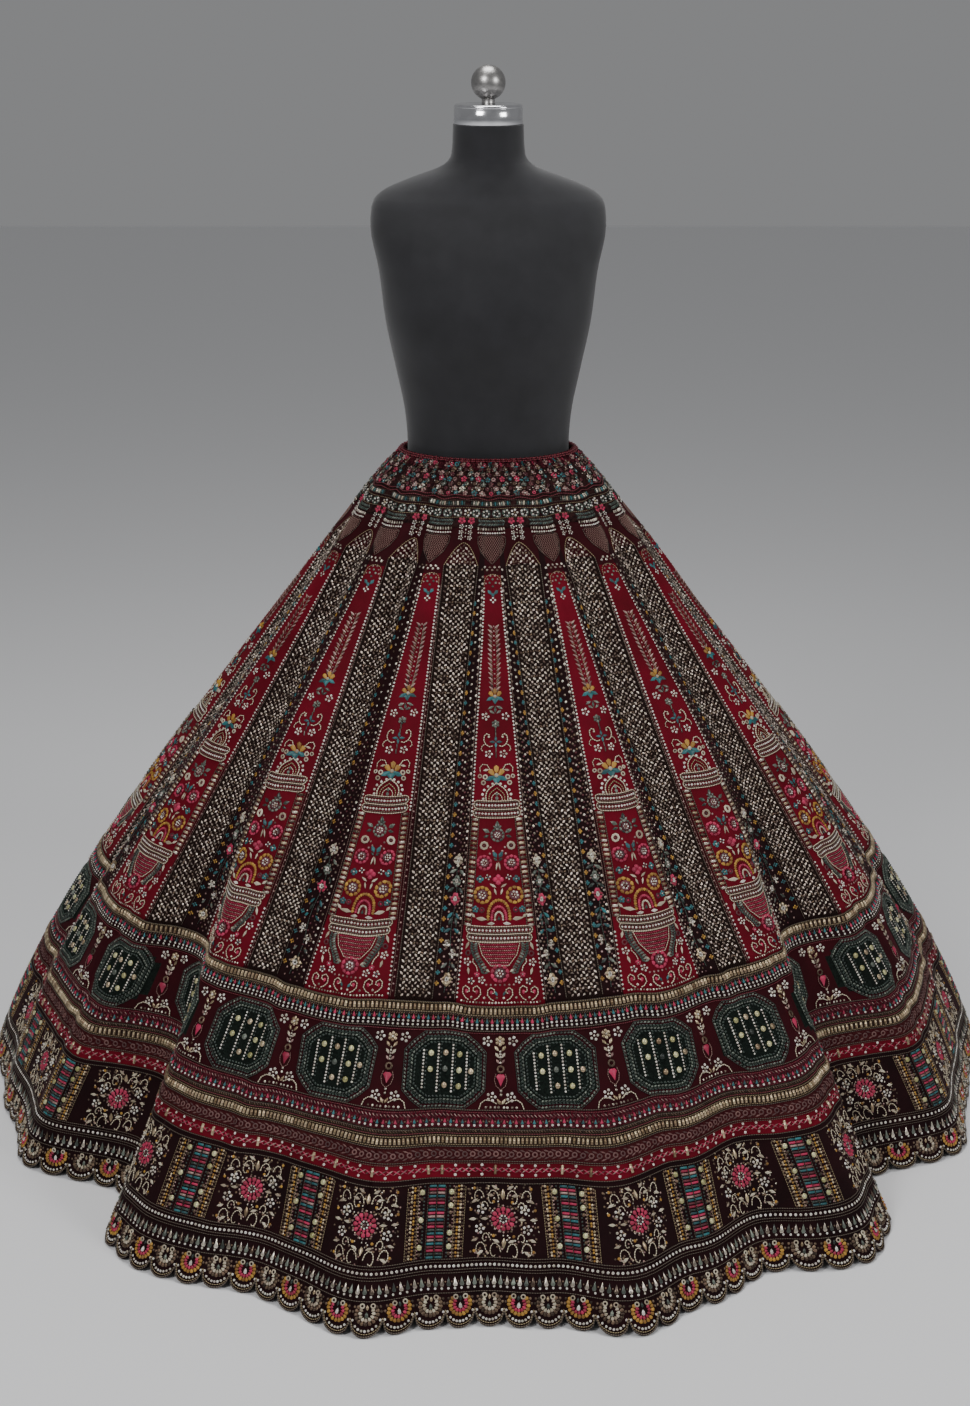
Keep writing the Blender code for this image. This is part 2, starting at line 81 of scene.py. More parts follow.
# Fine creases between the large folds: soft ridges, or troughs where height is negative.
# Angle, half width in degrees, height, and the cloth distances of its two ends.
CREASES = [
    (-5.5, 3.0, -0.005, 0.42, 0.93), (7.0, 2.6, 0.0045, 0.5, 1.02), (-20.0, 3.4, 0.006, 0.38, 0.88),
    (22.5, 3.0, -0.0055, 0.45, 1.1), (-31.5, 2.8, 0.005, 0.55, 1.15), (37.5, 2.4, 0.006, 0.48, 0.95),
    (-45.5, 2.8, -0.006, 0.4, 0.9), (49.0, 2.5, -0.005, 0.55, 1.15), (-64.5, 3.5, 0.009, 0.45, 1.15),
    (68.0, 3.2, 0.008, 0.5, 1.15), (-70.5, 2.2, -0.005, 0.6, 1.1), (73.5, 2.4, -0.006, 0.55, 1.05),
    (-84.0, 3.8, 0.008, 0.42, 1.15), (88.0, 3.4, 0.007, 0.46, 1.12), (-90.5, 2.4, -0.005, 0.62, 1.14),
    (94.5, 2.6, -0.0055, 0.58, 1.1), (-106.0, 3.6, -0.007, 0.4, 1.12), (110.5, 3.2, 0.006, 0.5, 1.15),
    (-127.0, 3.4, 0.0075, 0.44, 1.15), (131.0, 3.8, -0.0065, 0.48, 1.13),
    (-147.5, 3.0, -0.006, 0.52, 1.15), (150.5, 3.4, 0.007, 0.42, 1.1), (-167.0, 3.2, 0.006, 0.46, 1.15),
    (171.5, 3.0, -0.0055, 0.5, 1.14), (-10.5, 2.2, 0.0035, 0.08, 0.3), (27.5, 2.8, -0.004, 0.1, 0.36),
    (-36.0, 3.0, -0.0035, 0.09, 0.28), (62.0, 3.2, 0.004, 0.08, 0.33), (-80.0, 3.6, -0.004, 0.1, 0.35),
    (104.0, 3.4, 0.0045, 0.09, 0.3), (-133.0, 3.8, 0.004, 0.1, 0.34), (156.0, 3.6, -0.004, 0.08, 0.31),
]

SWELL = 0.018
SWELL_REACH = 0.025
KALIS = 14
FLUTE_HEIGHT = 0.017
FLUTE_SHARES = [0.5, 0.9, 1.0, 0.4, 0.4, 0.9, 1.1, 1.0, 1.1, 0.9, 0.6, 0.5, 1.0, 0.9]
FRILL_END = 0.016
YOKE_END = 0.098
KALI_END = 0.749
UPPER_BRAID_AT = 0.754
MIDDLE_BRAID_AT = 0.921
BORDER_PIECES = 12
SCALLOPS_PER_PIECE = 10
SCALLOP_TOP = 1.117
SCALLOP_ROOT = 0.5
FRILL_WAVES = 84
FRILL_DEPTH = 0.003
FRILL_FLARE = 0.003
GATHER_FADE = 0.022

# Kali layout: cloth distance, and the red strip's share of the kali's width there
RED_STRIP = [(0.098, 0.23), (0.197, 0.263), (0.307, 0.325), (0.391, 0.37), (0.496, 0.405), (0.643, 0.466),
             (0.727, 0.513), (0.749, 0.52)]
HONEYCOMB_HALF = 0.0245
NARROWEST_KALI = 0.062
WIDE_STRIP_SHARE = 0.3
STRIP_WIDTH = 0.042
COMB_PITCH = 0.0078
CORD_STEP = 0.008
HALF_TWIST = 0.0016
SEWN_LIFT = 0.0004
CORD_LIFT = 0.6
HONEYCOMB_TOP = 0.12
RED_TOP = 0.166
# The embroidered side strip lies on the side away from the front; the three front kalis differ
SIDE_SHARE = 0.9
LEFT_SHARES = {0: 0.52, 1: 0.46, 7: 0.5, 13: 0.86}

# Border bands, by the cloth distance of their tops
OCTAGON_ROW = 0.781
OCTAGON_MIDDLE = 0.8325
OCTAGON_HALF_WIDTH = 0.053
OCTAGON_HALF_HEIGHT = 0.048
# The cut corners of an octagon run where across plus down, each over its half size, comes to this
OCTAGON_CORNER = 1.52
BORDER_BANDS = {
    0.749: "braid_ground", 0.76: "dark_velvet", OCTAGON_ROW: "maroon_velvet", 0.884: "rose_weave",
    0.905: "braid_ground", 0.929: "maroon_weave", 0.949: "red_velvet", 0.968: "dark_velvet",
}


def smooth_step(share):
    """Rise from 0 to 1 with level ends."""
    share = np.clip(share, 0.0, 1.0)
    return share * share * (3.0 - 2.0 * share)


def turn_between(angle, middle):
    """Signed degrees from middle to angle, by the short way."""
    return (angle - middle + 180.0) % 360.0 - 180.0


def around(angle, column):
    """Reach (column 1) or belly (2) of the skirt at an angle, without its folds."""
    away = np.abs(turn_between(angle, 0.0))
    value = np.full(away.shape, HEM_REACH[-1][column])
    for near, far in reversed(list(zip(HEM_REACH, HEM_REACH[1:]))):
        share = smooth_step((away - near[0]) / (far[0] - near[0]))
        value = np.where(away <= far[0], near[column] + (far[column] - near[column]) * share, value)
    return value


def fold_height(angle, down):
    """How far the large folds move the cloth outwards; down runs from 0 to 1."""
    height = np.zeros(angle.shape)
    for middle, left, right, size, start in FOLDS:
        turn = turn_between(angle, middle)
        across = np.clip(turn / np.where(turn > 0.0, right, left), -1.0, 1.0)
        grown = smooth_step((down - start) / (1.0 - start))
        height += size * grown * 0.5 * (1.0 + np.cos(np.pi * across))
    return height


def crease_height(angle, cloth):
    """The fine creases between the folds."""
    height = np.zeros(angle.shape)
    for middle, half, size, top, foot in CREASES:
        across = np.clip(turn_between(angle, middle) / half, -1.0, 1.0)
        along = np.clip((cloth - top) / (foot - top), 0.0, 1.0)
        height += size * np.sin(np.pi * along) * 0.5 * (1.0 + np.cos(np.pi * across))
    return height


def flute_height(angle, down):
    """Kalis stand out along their middles, most at half height."""
    place = ((angle - SKIRT_TURN) / (360.0 / KALIS)) % KALIS
    nearest = np.round(place)
    offset = place - nearest
    shares = np.array(FLUTE_SHARES)
    own = shares[nearest.astype(int) % KALIS]
    other = shares[(nearest + np.where(offset > 0.0, 1, -1)).astype(int) % KALIS]
    share = own + (other - own) * np.abs(offset)
    grown = np.sin(np.pi * np.minimum(1.0, down ** 0.75)) ** 1.2
    return FLUTE_HEIGHT * share * grown * np.cos(2.0 * np.pi * place)


def gather_height(angle, cloth):
    """Gathers that open at the waist edge and die away down the yoke."""
    wave = np.cos(np.radians(angle * FRILL_WAVES))
    open_share = np.clip(1.0 - cloth / FRILL_END, 0.0, 1.0)
    depth = 0.35 + 0.65 * open_share
    fading = np.exp(-np.maximum(cloth - FRILL_END, 0.0) / GATHER_FADE)
    return FRILL_DEPTH * depth * wave * fading + FRILL_FLARE * open_share ** 2


def cloth_point(angle, cloth, out=0.0):
    """Points of the cloth's outer face, or of a face that lies level outside it."""
    angle, cloth, out = np.broadcast_arrays(
        np.asarray(angle, float), np.asarray(cloth, float), np.asarray(out, float))
    down = cloth / CLOTH_LENGTH
    turned = np.radians(angle)
    top = 1.0 / np.hypot(np.sin(turned) / WAIST_HALF_WIDTH, np.cos(turned) / WAIST_HALF_DEPTH)
    reach = around(angle, 1)
    chord = np.hypot(reach - top, WAIST_HEIGHT)
    behind = (np.abs(turn_between(angle, 0.0)) - BELL_FROM) / (180.0 - BELL_FROM)
    sag = BELL_SAG * smooth_step(behind)
    pull_r = 0.5 * (top + reach) + 2.0 * sag * WAIST_HEIGHT / chord
    pull_z = 0.5 * WAIST_HEIGHT + 2.0 * sag * (reach - top) / chord
    up = 1.0 - down
    radius = up * up * top + 2.0 * up * down * pull_r + down * down * reach
    height = up * up * WAIST_HEIGHT + 2.0 * up * down * pull_z
    radius += SWELL * (1.0 - np.exp(-cloth / SWELL_REACH)) * up
    radius += around(angle, 2) * BELLY_PEAK * down * down * up
    radius += fold_height(angle, down) + flute_height(angle, down)
    radius += crease_height(angle, cloth) + gather_height(angle, cloth) + out
    return np.stack([radius * np.sin(turned), -radius * np.cos(turned), height], axis=-1)


def cloth_frame(angle, cloth):
    """Place, way across, way down and way out of the cloth at each spot."""
    turn_step = 0.04
    down_step = 0.0008
    across = cloth_point(angle + turn_step, cloth) - cloth_point(angle - turn_step, cloth)
    downward = cloth_point(angle, cloth + down_step) - cloth_point(angle, cloth - down_step)
    across /= np.linalg.norm(across, axis=-1, keepdims=True)
    outward = np.cross(downward, across)
    outward /= np.linalg.norm(outward, axis=-1, keepdims=True)
    downward = np.cross(across, outward)
    return cloth_point(angle, cloth), across, downward, outward


class Panels:
    """Equal panels all round the skirt, measured along the cloth from seam to seam."""

    def __init__(self, count, top, bottom):
        self.count = count
        self.cloths = np.linspace(top, bottom, 80)
        samples = 60
        starts = (np.arange(count) - 0.5) * 360.0 / count + SKIRT_TURN
        angles = starts[:, None] + np.linspace(0.0, 360.0 / count, samples + 1)
        points = cloth_point(angles[:, None, :], self.cloths[None, :, None])
        steps = np.linalg.norm(np.diff(points, axis=2), axis=3)
        run = np.concatenate([np.zeros(steps.shape[:2] + (1,)), np.cumsum(steps, axis=2)], axis=2)
        self.widths = run[:, :, -1]
        self.shares = np.linspace(0.0, 1.0, 31)
        self.angles = np.empty((count, len(self.cloths), len(self.shares)))
        for number in range(count):
            for row in range(len(self.cloths)):
                self.angles[number, row] = np.interp(
                    self.shares * self.widths[number, row], run[number, row], angles[number])

    def width(self, cloth, number=0):
        """A panel's width, seam to seam along the cloth."""
        return np.interp(cloth, self.cloths, self.widths[number])

    def angle(self, number, share, cloth):
        """Angle at a share of a panel's width; a share past 0 or 1 is in the next panel."""
        number, share, cloth = np.broadcast_arrays(
            np.asarray(number), np.asarray(share, float), np.asarray(cloth, float))
        over = np.floor(share).astype(int)
        number = number + over
        turns = np.floor_divide(number, self.count)
        number = number % self.count
        column = (share - over) * (len(self.shares) - 1)
        left = np.minimum(column.astype(int), len(self.shares) - 2)
        row = (cloth - self.cloths[0]) / (self.cloths[-1] - self.cloths[0]) * (len(self.cloths) - 1)
        row = np.clip(row, 0.0, len(self.cloths) - 1.001)
        upper = row.astype(int)
        column, row = column - left, row - upper
        table = self.angles
        high = table[number, upper, left] * (1 - column) + table[number, upper, left + 1] * column
        low = table[number, upper + 1, left] * (1 - column) + table[number, upper + 1, left + 1] * column
        return high * (1 - row) + low * row + 360.0 * turns


kalis = Panels(KALIS, 0.0, KALI_END)
# Each border unit runs from one octagon's middle to the next, with the squares at its middle
border = Panels(2 * BORDER_PIECES, KALI_END, CLOTH_LENGTH)
hem = Panels(BORDER_PIECES * SCALLOPS_PER_PIECE, KALI_END, CLOTH_LENGTH)


def left_share(number):
    """The left strip's share of what a kali's red and honeycomb strips leave."""
    return LEFT_SHARES.get(number, 1.0 - SIDE_SHARE if number < KALIS // 2 else SIDE_SHARE)


def kali_edges(number, cloth):
    """Shares of a kali's width where its strips meet: honeycomb, strip, red, strip, honeycomb."""
    red = np.interp(cloth, *zip(*RED_STRIP))
    comb = HONEYCOMB_HALF / np.maximum(kalis.width(cloth), NARROWEST_KALI)
    start = comb + left_share(number) * (1.0 - red - 2.0 * comb)
    return np.array([np.zeros_like(red), comb, start, start + red, 1.0 - comb, np.ones_like(red)])


def is_dark(number, side):
    """True if the strip on this side of a kali, -1 left or 1 right, is wide enough for its flowers."""
    share = left_share(number)
    return (share if side < 0 else 1.0 - share) > WIDE_STRIP_SHARE


# Materials

def new_finish(name, roughness, metallic=0.0, **constants):
    """A material with its node tree and main shader; constants go on the shader's own sockets."""
    material = bpy.data.materials.new(name)
    material.use_nodes = True
    shader = material.node_tree.nodes["Principled BSDF"]
    shader.inputs["Roughness"].default_value = roughness
    shader.inputs["Metallic"].default_value = metallic
    for socket, value in constants.items():
        shader.inputs[socket.replace("_", " ")].default_value = value
    return material, material.node_tree, shader


def add_node(tree, kind, values=None, **settings):
    """A node with some of its settings, and values for its inputs."""
    node = tree.nodes.new(kind)
    for setting, value in settings.items():
        setattr(node, setting, value)
    for socket, value in (values or {}).items():
        node.inputs[socket].default_value = value
    return node


def link_all(tree, rows):
    """Link nodes; a row is a node and its output, then a node and its input."""
    for start, output, end, entry in rows:
        tree.links.new(start.outputs[output], end.inputs[entry])


def object_noise(tree, scale, detail):
    """Noise on the piece's own coordinates."""
    place = add_node(tree, "ShaderNodeTexCoord")
    noise = add_node(tree, "ShaderNodeTexNoise", {"Scale": scale, "Detail": detail, "Roughness": 0.55})
    tree.links.new(place.outputs["Object"], noise.inputs["Vector"])
    return noise.outputs


def colour_by(tree, value, stops, socket):
    """Colour an input by a value from 0 to 1; stops are (place, colour)."""
    ramp = add_node(tree, "ShaderNodeValToRGB")
    elements = ramp.color_ramp.elements
    while len(elements) < len(stops):
        elements.new(0.5)
    for element, (place, colour) in zip(elements, stops):
        element.position = place
        element.color = (*colour, 1.0)
    tree.links.new(value, ramp.inputs["Fac"])
    tree.links.new(ramp.outputs["Color"], socket)


def add_bump(tree, shader, height, strength, distance):
    """Bump from a height value."""
    bump = add_node(tree, "ShaderNodeBump", {"Strength": strength, "Distance": distance})
    tree.links.new(height, bump.inputs["Height"])
    tree.links.new(bump.outputs["Normal"], shader.inputs["Normal"])


def back_and_forth(tree, value, most):
    """A value that runs up to most and back down, again and again."""
    wave = add_node(tree, "ShaderNodeMath", {1: most}, operation="PINGPONG")
    tree.links.new(value, wave.inputs[0])
    return wave.outputs["Value"]


def share_of(tree, value, most):
    """A value as a share of the most it can be."""
    share = add_node(tree, "ShaderNodeMapRange", {"From Max": most})
    tree.links.new(value, share.inputs["Value"])
    return share.outputs["Result"]


def velvet(name, deep, lit, sheen):
    """Cut-pile velvet: brushed patches, a fine nap and a sheen at its edges."""
    material, tree, shader = new_finish(
        name, 0.75, Sheen_Weight=0.22, Sheen_Roughness=0.4, Sheen_Tint=(*sheen, 1.0),
        Specular_IOR_Level=0.12)
    brushed = object_noise(tree, 14.0, 4.0)["Fac"]
    colour_by(tree, brushed, [(0.32, deep), (0.7, lit)], shader.inputs["Base Color"])
    add_bump(tree, shader, object_noise(tree, 1400.0, 2.0)["Fac"], 0.35, 0.0004)
    return material


def thread_ground(name, scale, *colours):
    """Ground closely covered with thread stitches of a few colours."""
    material, tree, shader = new_finish(name, 0.8, Specular_IOR_Level=0.12)
    place = add_node(tree, "ShaderNodeTexCoord")
    cells = add_node(tree, "ShaderNodeTexVoronoi", {"Scale": scale})
    value = add_node(tree, "ShaderNodeSeparateColor")
    link_all(tree, [(place, "Object", cells, "Vector"), (cells, "Color", value, "Color")])
    stops = [(place_on / (len(colours) - 1), colour) for place_on, colour in enumerate(colours)]
    colour_by(tree, value.outputs["Red"], stops, shader.inputs["Base Color"])
    add_bump(tree, shader, cells.outputs["Distance"], 0.6, 0.0006)
    return material


def comb_ground(name, ground, thread):
    """Dark velvet under a lattice of slanting gold threads, on the piece's own cloth map."""
    material, tree, shader = new_finish(name, 0.8, Specular_IOR_Level=0.1)
    pitch = 0.5 * COMB_PITCH
    cloth = add_node(tree, "ShaderNodeUVMap", uv_map="Cloth")
    split = add_node(tree, "ShaderNodeSeparateXYZ")
    nearest = add_node(tree, "ShaderNodeMath", operation="MINIMUM")
    tree.links.new(cloth.outputs["UV"], split.inputs["Vector"])
    for entry, way in enumerate((1.0, -1.0)):
        slanted = add_node(tree, "ShaderNodeMath", {1: way}, operation="MULTIPLY_ADD")
        link_all(tree, [(split, "X", slanted, 0), (split, "Y", slanted, 2)])
        tree.links.new(back_and_forth(tree, slanted.outputs["Value"], 0.5 * pitch), nearest.inputs[entry])
    share = share_of(tree, nearest.outputs["Value"], 0.17 * pitch)
    colour_by(tree, share, [(0.0, thread), (1.0, ground)], shader.inputs["Base Color"])
    add_bump(tree, shader, share, -0.5, 0.0006)
    return material


def sewn_finish(name, dull, bright, roughness, metallic=0.0, **constants):
    """Sequins, beads or thread whose tone varies from stitch to stitch; on sequins the bright ones are painted
    glints.
    """
    material, tree, shader = new_finish(name, roughness, metallic, **constants)
    # The stored tone sets each stitch between dull and bright; on sequins the bright end is a painted glint
    tone = add_node(tree, "ShaderNodeAttribute", attribute_name="tone")
    worn = add_node(tree, "ShaderNodeMix", {"Factor": 0.35}, data_type="RGBA", blend_type="MULTIPLY")
    colour_by(tree, tone.outputs["Fac"], [(0.0, dull), (1.0, bright)], worn.inputs["A"])
    wear = object_noise(tree, 420.0, 2.0)
    tree.links.new(wear["Color"], worn.inputs["B"])
    tree.links.new(worn.outputs["Result"], shader.inputs["Base Color"])
    add_bump(tree, shader, wear["Fac"], 0.15, 0.0003)
    return material


def twisted_cord(name, dull, bright, metallic):
    """Couched cord, whose twist shows as slanting light and dark turns along its run, painted as shade and
    highlight in its colour.
    """
    material, tree, shader = new_finish(name, 0.5, metallic)
    run = add_node(tree, "ShaderNodeAttribute", attribute_name="run")
    share = share_of(tree, back_and_forth(tree, run.outputs["Fac"], HALF_TWIST), HALF_TWIST)
    # Painted shade and highlight: the colour swings from dull to bright and back along each turn of the twist
    colour_by(tree, share, [(0.25, dull), (0.75, bright)], shader.inputs["Base Color"])
    add_bump(tree, shader, share, 0.4, 0.0004)
    return material


FINISHES = {
    "red_velvet": velvet("Red velvet", (0.08, 0.0004, 0.005), (0.135, 0.001, 0.01), (0.32, 0.01, 0.03)),
    "dark_velvet": velvet("Dark velvet", (0.006, 0.0008, 0.0012), (0.014, 0.0016, 0.0026), (0.16, 0.03, 0.04)),
    "maroon_velvet": velvet(
        "Maroon velvet", (0.018, 0.0004, 0.0018), (0.034, 0.0008, 0.0035), (0.3, 0.03, 0.05)),
    "comb_ground": comb_ground("Honeycomb ground", (0.006, 0.002, 0.002), (0.026, 0.013, 0.009)),
    "green_ground": thread_ground("Dark green ground", 520.0, (0.0015, 0.003, 0.002), (0.006, 0.011, 0.008)),
    "braid_ground": thread_ground("Braid edging", 650.0, (0.01, 0.004, 0.004), (0.04, 0.023, 0.015)),
    "rose_weave": thread_ground(
        "Rose woven band", 480.0, (0.088, 0.002, 0.012), (0.016, 0.002, 0.003), (0.095, 0.018, 0.026)),
    "maroon_weave": thread_ground(
        "Maroon scroll band", 420.0, (0.032, 0.001, 0.004), (0.052, 0.009, 0.009), (0.03, 0.002, 0.004)),
    "frill_thread": thread_ground(
        "Frill thread", 380.0, (0.045, 0.003, 0.008), (0.014, 0.0015, 0.003), (0.09, 0.014, 0.02)),
    "yoke_thread": thread_ground(
        "Yoke thread", 420.0, (0.012, 0.0012, 0.0025), (0.03, 0.01, 0.009), (0.006, 0.001, 0.002)),
    # Both sequin finishes paint glints: their bright colour is a painted highlight that some sequins get
    "silver": sewn_finish("Antique silver sequins", (0.1, 0.062, 0.042), (0.95, 0.86, 0.72), 0.28, 0.7),
    "spangle": sewn_finish("Honeycomb spangles", (0.075, 0.04, 0.028), (0.98, 0.82, 0.69), 0.28, 0.5),
    "pearl": sewn_finish("White beads", (0.4, 0.34, 0.27), (0.94, 0.9, 0.82), 0.25, 0.0, Coat_Weight=0.5),
    "gold": sewn_finish("Zari gold", (0.19, 0.12, 0.065), (0.8, 0.64, 0.42), 0.34, 0.7),
    "pale_gold": sewn_finish("Pale gold discs", (0.3, 0.28, 0.1), (0.88, 0.84, 0.48), 0.28, 0.35),
    "bronze": sewn_finish("Bronze specks", (0.03, 0.018, 0.012), (0.26, 0.17, 0.11), 0.4, 0.6),
    "cream": sewn_finish("Cream thread", (0.3, 0.23, 0.16), (0.74, 0.66, 0.5), 0.6),
    "rose": sewn_finish("Rose sequins", (0.12, 0.045, 0.042), (0.52, 0.34, 0.3), 0.4, 0.3),
    "pink": sewn_finish("Pink thread", (0.24, 0.004, 0.03), (0.62, 0.03, 0.11), 0.5),
    "teal": sewn_finish("Teal thread", (0.004, 0.04, 0.046), (0.022, 0.2, 0.22), 0.45),
    "mustard": sewn_finish("Mustard thread", (0.2, 0.085, 0.006), (0.58, 0.31, 0.04), 0.5),
    "green": sewn_finish("Dark green beads", (0.004, 0.01, 0.007), (0.034, 0.058, 0.042), 0.35),
    "grey": sewn_finish("Grey green beads", (0.022, 0.028, 0.024), (0.24, 0.27, 0.22), 0.34, 0.3),
    "net": sewn_finish("Dull rose thread", (0.055, 0.014, 0.014), (0.2, 0.09, 0.08), 0.6),
    "maroon": sewn_finish("Maroon thread", (0.035, 0.002, 0.005), (0.14, 0.01, 0.022), 0.5),
    # Each cord's dull and bright colours are the painted shade and highlight of its turns
    "grey_cord": twisted_cord("Grey couched cord", (0.03, 0.02, 0.015), (0.15, 0.115, 0.085), 0.3),
    "net_cord": twisted_cord("Rose net thread", (0.12, 0.055, 0.045), (0.32, 0.19, 0.16), 0.2),
    "gold_cord": twisted_cord("Gold couched cord", (0.11, 0.07, 0.035), (0.46, 0.37, 0.22), 0.5),
    "cream_cord": twisted_cord("Cream couched cord", (0.3, 0.24, 0.16), (0.76, 0.68, 0.52), 0.1),
    "maroon_cord": twisted_cord("Maroon couched cord", (0.05, 0.003, 0.008), (0.26, 0.035, 0.05), 0.0),
    "green_cord": twisted_cord("Green couched cord", (0.01, 0.02, 0.015), (0.055, 0.08, 0.062), 0.1),
}


# Small shapes that are sewn on, one unit long and wide, with X along and Z out of the cloth

def ring_of(sides, radius, height, stretch=1.0):
    """Corners of a level ring."""
    return [(radius * math.cos(2 * math.pi * side / sides),
             stretch * radius * math.sin(2 * math.pi * side / sides), height)
            for side in range(sides)]


def stacked(rings, apex):
    """Faces between rings of one size, closed by a fan to an apex."""
    sides = len(rings[0])
    corners = [corner for ring in rings for corner in ring] + [apex]
    faces = []
    for level in range(len(rings) - 1):
        for side in range(sides):
            following = (side + 1) % sides
            faces.append((level * sides + side, level * sides + following,
                          (level + 1) * sides + following, (level + 1) * sides + side))
    last = (len(rings) - 1) * sides
    faces += [(last + side, last + (side + 1) % sides, len(corners) - 1) for side in range(sides)]
    return corners, faces


def outline_dome(outline, ridge):
    """A petal or leaf: an outline on the cloth raised to one ridge point."""
    corners = [(x, y, 0.0) for x, y in outline] + [ridge]
    count = len(outline)
    return corners, [(place, (place + 1) % count, count) for place in range(count)]


SHAPES = {
    "bead": stacked([ring_of(6, 0.5, 0.0)], (0.0, 0.0, 1.0)),
    "big_bead": stacked([ring_of(8, 0.5, 0.0), ring_of(8, 0.38, 0.7)], (0.0, 0.0, 1.0)),
    "disc": stacked([ring_of(8, 0.5, 0.0), ring_of(8, 0.45, 1.0)], (0.0, 0.0, 0.75)),
    "spangle": stacked([ring_of(4, 0.5, 0.0)], (0.0, 0.0, 1.0)),
    "petal": outline_dome(
        [(-0.5, 0.0), (-0.15, -0.38), (0.3, -0.45), (0.5, 0.0), (0.3, 0.45), (-0.15, 0.38)], (0.15, 0.0, 1.0)),
    "leaf": outline_dome(
        [(-0.5, 0.0), (-0.1, -0.5), (0.22, -0.32), (0.5, 0.0), (0.22, 0.32), (-0.1, 0.5)], (0.0, 0.0, 1.0)),
    "drop": outline_dome(
        [(-0.5, 0.0), (0.0, -0.3), (0.25, -0.5), (0.45, -0.3), (0.45, 0.3), (0.25, 0.5), (0.0, 0.3)],
        (0.2, 0.0, 1.0)),
    "bar": (
        [(-0.5, -0.5, 0.0), (0.5, -0.5, 0.0), (0.5, 0.5, 0.0), (-0.5, 0.5, 0.0),
         (-0.42, -0.22, 1.0), (0.42, -0.22, 1.0), (0.42, 0.22, 1.0), (-0.42, 0.22, 1.0)],
        [(0, 1, 5, 4), (1, 2, 6, 5), (2, 3, 7, 6), (3, 0, 4, 7), (4, 5, 6, 7)]),
    "ring": (
        ring_of(8, 0.5, 0.0) + ring_of(8, 0.37, 1.0) + ring_of(8, 0.24, 0.0),
        [(level + side, level + (side + 1) % 8, level + 8 + (side + 1) % 8, level + 8 + side)
         for level in (0, 8) for side in range(8)]),
}
KINDS = sorted(SHAPES)


def shape_collection():
    """The shapes as objects, outside the scene, in the order of their names."""
    collection = bpy.data.collections.new("Shapes sewn on")
    for name in KINDS:
        corners, faces = SHAPES[name]
        mesh = bpy.data.meshes.new("shape_" + name)
        mesh.from_pydata(corners, [], faces)
        mesh.shade_smooth()
        flat = mesh.attributes.new("flat_place", "FLOAT_VECTOR", "POINT")
        flat.data.foreach_set("vector", np.array(
            [(0.5 + 0.8 * x, 0.5 + 0.8 * y, 0.0) for x, y, _ in corners], np.float32).ravel())
        collection.objects.link(bpy.data.objects.new("shape_" + name, mesh))
    return collection


def start_tree(name, inputs, made):
    """A tree with its inputs and output, that ends in real geometry of one finish."""
    tree = bpy.data.node_groups.new(name, "GeometryNodeTree")
    sockets = {label: tree.interface.new_socket(label, in_out="INPUT", socket_type="NodeSocket" + kind)
               for label, kind in inputs.items()}
    tree.interface.new_socket(made, in_out="OUTPUT", socket_type="NodeSocketGeometry")
    entry, real, finish, result = (add_node(tree, kind) for kind in (
        "NodeGroupInput", "GeometryNodeRealizeInstances", "GeometryNodeSetMaterial", "NodeGroupOutput"))
    link_all(tree, [(real, "Geometry", finish, "Geometry"), (entry, "Finish", finish, "Material"),
                    (finish, "Geometry", result, made)])
    return tree, {label: socket.identifier for label, socket in sockets.items()}, entry, real


def stored_value(tree, name, kind):
    """A node that reads a value kept on the points."""
    return add_node(tree, "GeometryNodeInputNamedAttribute", {"Name": name}, data_type=kind)


def sewing_tree():
    """Sets a shape on each spot, turned and sized as the spot says."""
    tree, sockets, entry, real = start_tree(
        "Sew shapes on", {"Spots": "Geometry", "Shapes": "Collection", "Finish": "Material"}, "Sewn")
    shapes = add_node(tree, "GeometryNodeCollectionInfo", {"Separate Children": True, "Reset Children": True})
    rotation = add_node(tree, "FunctionNodeAxesToRotation", primary_axis="Z", secondary_axis="X")
    place = add_node(tree, "GeometryNodeInstanceOnPoints", {"Pick Instance": True})
    vector = "FLOAT_VECTOR"
    link_all(tree, [
        (entry, "Shapes", shapes, "Collection"), (entry, "Spots", place, "Points"),
        (shapes, "Instances", place, "Instance"), (rotation, "Rotation", place, "Rotation"),
        (stored_value(tree, "kind", "INT"), "Attribute", place, "Instance Index"),
        (stored_value(tree, "size", vector), "Attribute", place, "Scale"),
        (stored_value(tree, "facing", vector), "Attribute", rotation, "Primary Axis"),
        (stored_value(tree, "along", vector), "Attribute", rotation, "Secondary Axis"),
        (place, "Instances", real, "Geometry")])
    return tree, sockets


def cord_tree():
    """Makes a three-sided cord along each run of edges, as thick as its points say."""
    tree, sockets, entry, real = start_tree("Couch cords", {"Runs": "Geometry", "Finish": "Material"}, "Cords")
    curve = add_node(tree, "GeometryNodeMeshToCurve")
    along = add_node(tree, "GeometryNodeSplineParameter")
    keep = add_node(tree, "GeometryNodeStoreNamedAttribute", {"Name": "run"}, data_type="FLOAT",
                    domain="POINT")
    section = add_node(tree, "GeometryNodeCurvePrimitiveCircle", {"Resolution": 3, "Radius": 0.5})
    solid = add_node(tree, "GeometryNodeCurveToMesh", {"Fill Caps": True})
    smooth = add_node(tree, "GeometryNodeSetShadeSmooth")
    link_all(tree, [
        (entry, "Runs", curve, "Mesh"), (curve, "Curve", keep, "Geometry"), (along, "Length", keep, "Value"),
        (keep, "Geometry", solid, "Curve"), (section, "Curve", solid, "Profile Curve"),
        (stored_value(tree, "thick", "FLOAT"), "Attribute", solid, "Scale"),
        (solid, "Mesh", smooth, "Geometry"), (smooth, "Geometry", real, "Geometry")])
    return tree, sockets


